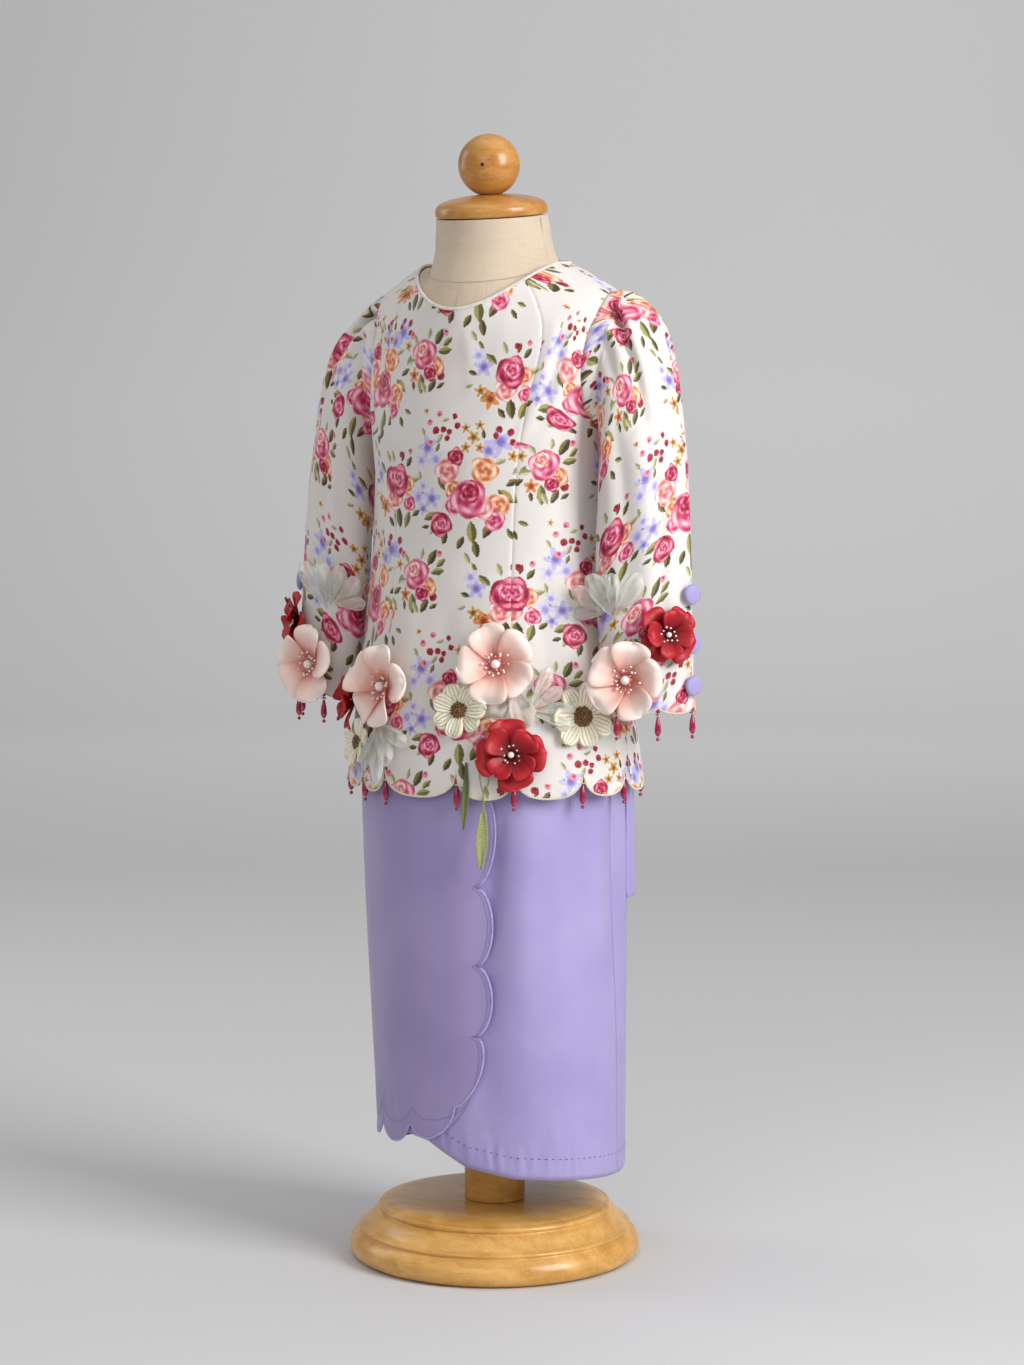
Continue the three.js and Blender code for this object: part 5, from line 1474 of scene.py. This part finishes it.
GOLDEN_TURN = 2.399963  # radians from one seed to the next
DAISY_COLUMNS = 33


def daisy(name, node, place, radius, petals, disc, start):
    """Ridged petals round a turned disc set with beads."""
    heap = Heap()
    u = np.linspace(-1, 1, DAISY_COLUMNS)[None, :]
    for k in range(petals):
        length, half_width = about(radius, 0.08), radius * rng.uniform(0.36, 0.42)
        cup, curl, phase = radius * rng.uniform(0.06, 0.15), rng.uniform(0.2, 1.2), rng.uniform(0, 6)
        grid = petal_grid(length, half_width, cup, curl, 0.4, phase, 0.3, 19, DAISY_COLUMNS)
        grid[..., 2] += 0.36 * np.abs(np.sin(u * math.pi * 3.0)) - 1.3 * u**4
        grid = tilt_petal(grid, rng.uniform(-0.16, 0.16), 0.05 + rng.uniform(-0.06, 0.12))
        grid = turn_z(grid, start + 2 * math.pi * k / petals + rng.uniform(-0.1, 0.1))
        grid[..., 2] += 1.0 + 0.9 * (k % 2)
        add_petal(heap, grid, 0.7)
    heap.add(*turned_parts([(0, 0.8), (disc, 1.2), (disc * 0.95, 3.2), (disc * 0.6, 4.6), (0, 5.2)], 24), slot=1)
    heap.mended_piece(name, [CREAM_LACE, BROWN_BEAD], "cream_lace", place, node=node)
    origin, basis = place
    seeds, away = [], []
    count = int(disc * disc * 1.1)
    for k in range(count):
        share = 0.98 * math.sqrt((k + 0.5) / count)
        x, y = share * math.cos(k * GOLDEN_TURN), share * math.sin(k * GOLDEN_TURN)
        seeds.append((disc * x, disc * y, 5.2 - 2.2 * share**2 + rng.uniform(-0.15, 0.2)))
        away.append((0.5 * x, 0.5 * y, 1))
    seeds = np.array(seeds) @ basis.T + origin
    away = unit(np.array(away)) @ basis.T
    repeat(name + "_beads", "bead", seeds, np.roll(away, 1, axis=1), away, (1.9, 1.9, 1.9), BROWN_BEAD)


NET_GATHER = 1.5  # radius of the gathered root of a ruffle


def net_ruffle(name, node, place, reach, half_angle, folds, lift, start, material=PALE_NET, flip=False):
    """A fan of stiff sheer cloth gathered at one point: broad petals side by side, with soft uneven flutes."""
    v = np.linspace(0, 1, 34)[:, None]
    u = np.linspace(-1, 1, 40 * folds + 1)[None, :]
    turn = start + half_angle * (u + 0.05 * np.sin(4 * u + 1.3 * folds))
    at = (u + 1) / 2 * folds
    lobe = np.minimum(np.floor(at), folds - 1)
    across = at - lobe
    full = np.clip(4 * across * (1 - across), 0, 1)
    edge = reach * (0.4 + 0.6 * full**0.42) * (0.9 + 0.1 * np.sin(2.4 * lobe + start))
    r = NET_GATHER + (edge - NET_GATHER) * v
    tip = lift * (0.7 + 0.8 * np.abs(np.sin(1.9 * lobe + folds))) * full**0.5
    cup = 0.09 * reach * (1 - full) * np.sin(v * math.pi * 0.6)
    pleats = 0.5 * v * np.sin(across * 6 * math.pi + lobe) * full
    curl = 0.12 * reach * np.clip((v - 0.75) / 0.25, 0, 1) ** 2
    height = 1.1 + tip * v**1.4 + cup + pleats - curl + 0.6 * v * (lobe % 2)
    origin, basis = place
    grid = np.stack([r * np.cos(turn), r * np.sin(turn), height], axis=-1) @ basis.T + origin
    if flip:
        grid = grid * np.array([-1, 1, 1])
    piece = cloth_piece(name, grid, cloth_uv(grid), material, "pale_net", node, 0.25)
    fix_normals(piece)
    # the cut edge is rolled and catches the light
    border = np.concatenate([grid[12:, 0], grid[-1, 1:-1], grid[:11:-1, -1]])
    tube(name + "_rim", border, 0.3, NET_RIM, "pale_net", 5)


def make_hem_trims():
    red_bloom("bloom_red_side_petals", "bloom_red_side", tunic_seat(-54, 431), 23, 0.4)
    blush_bloom("bloom_blush_side_petals", "bloom_blush_side", tunic_seat(-26.4, 445, 1.6), 29.5, 0.25)
    daisy("daisy_side_petals", "daisy_side", tunic_seat(-42.5, 401), 19.5, 7, 6.0, 0.3)
    daisy("daisy_front_petals", "daisy_front", tunic_seat(10.5, 432), 21.5, 7, 6.6, 0.1)
    blush_bloom("bloom_blush_front_petals", "bloom_blush_front", tunic_seat(25, 466, 1.6), 28.5, 0.7)
    red_bloom("bloom_red_front_petals", "bloom_red_front", tunic_seat(31, 400), 25, 0.15)
    daisy("daisy_left_petals", "daisy_left", tunic_seat(61, 427), 23.5, 7, 8.0, 0.5)
    net_ruffle("net_side_organza", "net_side", tunic_seat(-27.5, 418), 46, 0.98, 4, 8, -1.1)
    net_ruffle("net_front_organza", "net_front", tunic_seat(38, 432, 1.0), 36, 0.95, 4, 6, 0.35)
    net_ruffle("blush_front_underlay", None, tunic_seat(31, 452, 1.0), 36, 0.95, 2, 3, -1.7, BLUSH_NET)


LEAF_MIDDLE, LEAF_LAST = 4, 8  # columns of a leaf's grid


def strip_grid(angle, top_z, tip_z, half, lean, stem, wave, rows):
    """A narrow leaf that hangs from the tunic; its stem takes up the first share of its length."""
    grid = []
    u = np.linspace(-1, 1, LEAF_LAST + 1)[:, None]
    for k in range(rows):
        v = k / (rows - 1)
        z = top_z + (tip_z - top_z) * v
        ring = min(tunic_ring_at(angle, z), HEM_RING + 0.9)
        away = tunic_normal(angle, ring)
        away = unit(away * np.array([1, 1, 0]))
        across = np.array([-away[1], away[0], 0])
        leaf = max((v - stem) / (1 - stem), 0)
        width = half * (0.2 + 0.8 * math.sin(math.pi * (0.04 + 0.94 * leaf)))
        base = tunic_plain(angle, ring)
        base[2] = z
        off = 1.6 + lean * v * v + 0.9 * np.abs(u)
        side = wave * math.sin(v * 5.0)
        grid.append(base + across * (width * u + side) + away * off)
    return np.array(grid)


def make_leaves():
    olive = strip_grid(14, 394, 345, 2.7, 3, 0.1, 0.5, 60)
    lace = strip_grid(20.5, 392, 317, 3.9, 4, 0.45, 0.6, 70)
    leaf = lace[31:]
    for name, node, grid, finish in (
        ("leaf_olive_ribbon", "leaf_olive", olive, OLIVE_RIBBON),
        ("leaf_lace_blade", "leaf_lace", leaf, LIME_LACE),
    ):
        cloth_piece(name, grid, cloth_uv(grid), finish, "olive_ribbon", node, 0.5)
    heap = Heap()
    heap.add(*tube_parts(np.concatenate([leaf[:, 0], leaf[::-1, -1]]), 0.5, 6, True))
    heap.add(*tube_parts(leaf[:, LEAF_MIDDLE], 0.4, 6))
    tip = len(leaf) - 1
    for k in range(4, 36, 4):
        for side in (0, LEAF_LAST):
            end = leaf[min(k + 3, tip), side]
            bend = (leaf[min(k + 1, tip), LEAF_MIDDLE] + leaf[min(k + 2, tip), side]) / 2
            heap.add(*tube_parts([leaf[k, LEAF_MIDDLE], bend, end], 0.3, 5))
    # two thin stems cross above the leaf
    stem = lace[:32, LEAF_MIDDLE]
    v = np.linspace(0, 1, len(stem))[:, None]
    across = unit(lace[10, LEAF_LAST] - lace[10, 0])
    away = unit(np.cross(across, [0, 0, 1]))
    for bend, spread in ((1.0, 5.5), (-1.0, 4.0)):
        sway = bend * spread * np.sin(v * math.pi * 1.6) * (1 - v)
        heap.add(*tube_parts(stem + across * sway - away * 0.5 * bend, 0.42, 6))
    heap.mended_piece("leaf_lace_stems", [LIME_THREAD], "olive_ribbon")


def sleeve_seat(turn, ring, off):
    """A frame on the left sleeve's cloth, for what is sewn on there."""
    across = sleeve_plain(turn + 4, ring) - sleeve_plain(turn - 4, ring)
    down = sleeve_plain(turn, ring + 0.2) - sleeve_plain(turn, ring - 0.2)
    away = unit(np.cross(down, across))
    return frame_on(sleeve_plain(turn, ring) + away * off, away)


BUTTON_PROFILE = [(0, 0), (2.5, 0), (6.6, 1.5), (8.0, 3.0), (6.9, 5.0), (3.4, 6.0), (0, 6.1)]
BUTTON_RINGS = (7.55, 8.35, 9.25)
BUTTON_FACING = math.radians(-24)


def make_cuff_trims(side):
    flip = side == "right"
    red_start, blush_start, net_turn = (0.3, 0.5, -120) if flip else (0.8, 0.2, -128)
    seat = sleeve_seat(-46, 8.15, 1.5)
    red_bloom("cuff_red_petals_" + side, "cuff_bloom_red_" + side, seat, 21.5, red_start, flip)
    seat = sleeve_seat(-97, 9, 1.5)
    blush_bloom("cuff_blush_petals_" + side, "cuff_bloom_blush_" + side, seat, 28, blush_start, flip)
    seat = sleeve_seat(net_turn, 7.6, 1.2)
    net_ruffle("cuff_organza_" + side, "cuff_net_" + side, seat, 32, 1.2, 4, 7, 2.2, flip=flip)
    seat = sleeve_seat(-112, 7.7, 1.2)
    net_ruffle("cuff_organza_upper_" + side, None, seat, 40, 0.85, 3, 10, 1.5, flip=flip)
    # covered buttons, each with the soft dents of gathered cloth
    away = np.array([math.cos(BUTTON_FACING), math.sin(BUTTON_FACING), 0])
    for k, ring in enumerate(BUTTON_RINGS):
        seat = frame_on(sleeve_plain(-6.0, ring) + away * 1.5, away)
        points, faces = turned_parts(rounded(BUTTON_PROFILE, 5, 0.45), 40)
        turn = np.arctan2(points[:, 1], points[:, 0])
        reach = np.hypot(points[:, 0], points[:, 1])
        points[:, 2] += 0.12 * np.sin(turn * 7 + k) * (reach / 8) ** 2
        heap = Heap()
        heap.add(points, faces, points[:, :2])
        node = f"cuff_button_{k + 1}_{side}"
        button = heap.piece(node + "_covered", [LILAC_SATIN], "lilac_satin", seat, flip)
        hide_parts(node)


# ---- bead drops -------------------------------------------------------------------------------
CUT_BEAD = [(0, -20.6), (1.0, -20.4), (2.7, -17.6), (2.2, -12.0), (1.3, -7.6), (0.8, -6.0), (0, -5.9)]
SPACER = [(0, -5.6), (1.3, -5.5), (2.1, -5.0), (2.1, -4.4), (1.3, -3.9), (0, -3.8)]
DROP_THREAD = [(0, -24.2), (0.2, -24.1), (0.2, 1.2), (0, 1.3)]


def bead_drop(node, top):
    """From the top: a seed bead, a spacer, a long cut bead and a last round bead on one thread."""
    heap = Heap()
    heap.add(*ball_parts((0, 0, -1.9), 1.7, 14, 8))
    heap.add(*turned_parts(rounded(SPACER, 2), 16), slot=1)
    heap.add(*turned_parts(rounded(CUT_BEAD, 4, 0.4), 8))
    heap.add(*ball_parts((0, 0, -22.6), 1.45, 12, 8))
    heap.add(*turned_parts(DROP_THREAD, 6), slot=2)
    drop = heap.piece(node + "_beads", [CRIMSON_BEAD, SILVER, CREAM_EDGE], "crimson_bead", (top, np.eye(3)))
    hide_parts(node)


def hem_drop_gap(k):
    """Narrow scallops have shallow notches, so their drops hang from a little lower."""
    before, here, after = TUNIC_NOTCHES[k - 1], TUNIC_NOTCHES[k], TUNIC_NOTCHES[(k + 1) % len(TUNIC_NOTCHES)]
    narrow = min((here - before + 360) % 360, (after - here + 360) % 360)
    return 2.5 + (28 - narrow) * 0.1


def make_drops():
    for k, angle in enumerate(TUNIC_NOTCHES):
        bead_drop(f"hem_drop_{k + 1}", tunic_plain(angle, HEM_RING) - np.array([0, 0, hem_drop_gap(k)]))
    hem = sleeve_grid()[-1]
    for k, scallop in enumerate((0, 4, 5)):
        top = hem[scallop * SLEEVE_COLUMNS // SLEEVE_HEM_SCALLOPS] - np.array([0, 0, 1.1])
        bead_drop(f"cuff_drop_left_{k + 1}", top)
        bead_drop(f"cuff_drop_right_{k + 1}", top * np.array([-1, 1, 1]))


# ---- stitches ---------------------------------------------------------------------------------
STITCH_ABOVE_HEM = 16.5


def stitch_line(name, path, away, pitch, size, material):
    """Even stitches along a path that lies on the cloth."""
    lengths = np.concatenate([[0], np.cumsum(np.linalg.norm(np.diff(path, axis=0), axis=1))])
    spots = np.arange(pitch / 2, lengths[-1], pitch)
    along_path = lambda line: np.stack([np.interp(spots, lengths, line[:, k]) for k in range(3)], axis=-1)
    points, lift = along_path(path), along_path(away)
    repeat(name, "stitch", points, unit(np.gradient(points, axis=0)), unit(lift), size, material)


def make_stitches(overlap):
    angles = hem_turns(40)
    at = HEM_RING + tunic_scallop(angles) - 0.16
    away = tunic_normal(angles, at)
    stitch_line("tunic_hem_stitches", tunic_point(angles, at, 0.45), away, 2.4, (1.6, 0.3, 0.3), CREAM_EDGE)
    for name, start, end in (("skirt_front_hem_stitches", -96, 97.5), ("skirt_back_hem_stitches", 98.6, 261)):
        angles = np.linspace(start, end, 400)
        z = skirt_hem(angles) + STITCH_ABOVE_HEM
        path = skirt_point(angles, z, 0.42)
        stitch_line(name, path, skirt_normal(angles, z), 5.4, (2.7, 0.8, 0.5), LILAC_THREAD)
    inner = np.concatenate([overlap[14:-6, -5], overlap[-6, -5::-1]])
    normals = grid_normals(overlap)
    away = np.concatenate([normals[14:-6, -5], normals[-6, -5::-1]])
    stitch_line("overlap_edge_stitches", inner + away * 0.5, away, 2.6, (1.8, 0.5, 0.4), LILAC_THREAD)


# ---- light, floor and camera ------------------------------------------------------------------
# metres, and the sweep's turn about the upright
WALL_AWAY, BEND_RADIUS = 5.6, 1.7
PAPER_TURN = math.radians(29)
# Tones of the paper by distance behind the stand: the darker bands are painted shade.
PAPER_PAINTED_SHADE_TONES = [(0.0, "d0cfcf"), (0.11, "cac9c9"), (0.2, "bab9b9"), (0.34, "c9c8c8"), (0.52, "cac9c9"), (0.6, "bdbcbc")]


def make_backdrop():
    """A seamless sweep of pale paper: floor, soft bend and a far wall; its colour darkens in bands with distance
    behind the stand as painted shade.
    """
    turns = np.linspace(0, math.pi / 2, 24)
    bend = [(WALL_AWAY - BEND_RADIUS * (1 - math.sin(t)), BEND_RADIUS * (1 - math.cos(t))) for t in turns]
    profile = [(-6.0, 0.0), *bend, (WALL_AWAY, 8.0)]
    side = (math.cos(PAPER_TURN), math.sin(PAPER_TURN))
    back = (-side[1], side[0])
    points = [
        (side[0] * reach + back[0] * away, side[1] * reach + back[1] * away, up)
        for reach in (-9.0, 9.0) for away, up in profile
    ]
    count = len(profile)
    faces = [(k, k + count, k + count + 1, k + 1) for k in range(count - 1)]
    mesh = bpy.data.meshes.new("paper_sweep")
    mesh.from_pydata(points, [], faces)
    smooth_shaded(mesh)
    finish, n = new_finish("pale_paper_painted_shade")
    place = object_place(n)
    x, y, _ = n.split(place)
    depth = n.plus(n.times(x, back[0]), n.times(y, back[1]))
    tone = n.ramp(n.times(depth, 0.1), PAPER_PAINTED_SHADE_TONES)
    base = n.mix(n.times(n.noise(place, 0.6, 2.0), 0.3), tone, colour("d2d1d1"))
    finish_off(n, base, n.noise(place, 260.0, 2.0), 0.0001, roughness=0.85)
    mesh.materials.append(finish)
    put_in_scene("paper_sweep", mesh)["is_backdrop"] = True


def area_light(name, place, target, width, height, power):
    data = bpy.data.lights.new(name, "AREA")
    data.shape, data.size, data.size_y = "RECTANGLE", width, height
    data.energy = power
    light = put_in_scene(name, data)
    light.location = place
    light.rotation_euler = (Vector(target) - Vector(place)).to_track_quat("-Z", "Y").to_euler()


def make_lights():
    # metres and watts: the camera stands in front, a little to the form's left
    area_light("key_softbox", (2.3, -0.35, 1.55), (0, 0, 0.5), 1.1, 1.5, 62)
    area_light("front_fill", (0.5, -2.9, 1.9), (0, 0, 0.5), 2.0, 1.6, 17)
    area_light("left_edge", (-2.0, -0.2, 1.3), (0, 0, 0.5), 0.7, 1.4, 7)
    area_light("top_fill", (0.0, 0.2, 3.2), (0, 0, 0.3), 3.0, 3.0, 20)
    area_light("wall_wash", (-0.6, 2.9, 3.4), (-2.7, 4.9, 1.2), 3.6, 1.4, 76)
    world = bpy.data.worlds.new("studio_air")
    world.use_nodes = True
    colour_input, strength = world.node_tree.nodes["Background"].inputs[:2]
    colour_input.default_value, strength.default_value = (0.95, 0.95, 0.96, 1), 0.31
    bpy.context.scene.world = world


def make_camera():
    data = bpy.data.cameras.new("studio_camera")
    data.sensor_fit, data.sensor_width, data.lens = "HORIZONTAL", 36.0, 116.4375
    data.clip_start, data.clip_end = 0.1, 40
    data.dof.use_dof = False
    camera = put_in_scene("studio_camera", data)
    camera.location = (1.2254, -2.2106, 0.685)
    camera.rotation_euler = (math.radians(90 - 5.435), 0, math.radians(28.697))
    bpy.context.scene.camera = camera
    bpy.context.scene.view_settings.view_transform = "Standard"


make_camera()
make_stand()
make_form()
make_tunic()
make_sleeves()
overlap_grid = make_skirt()
make_hem_trims()
make_leaves()
make_cuff_trims("left")
make_cuff_trims("right")
make_drops()
make_stitches(overlap_grid)
make_backdrop()
make_lights()

plain = lambda box: [[float(v) for v in corner] for corner in box]
{"cad": plain(cad_box), "visual": plain(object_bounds())}
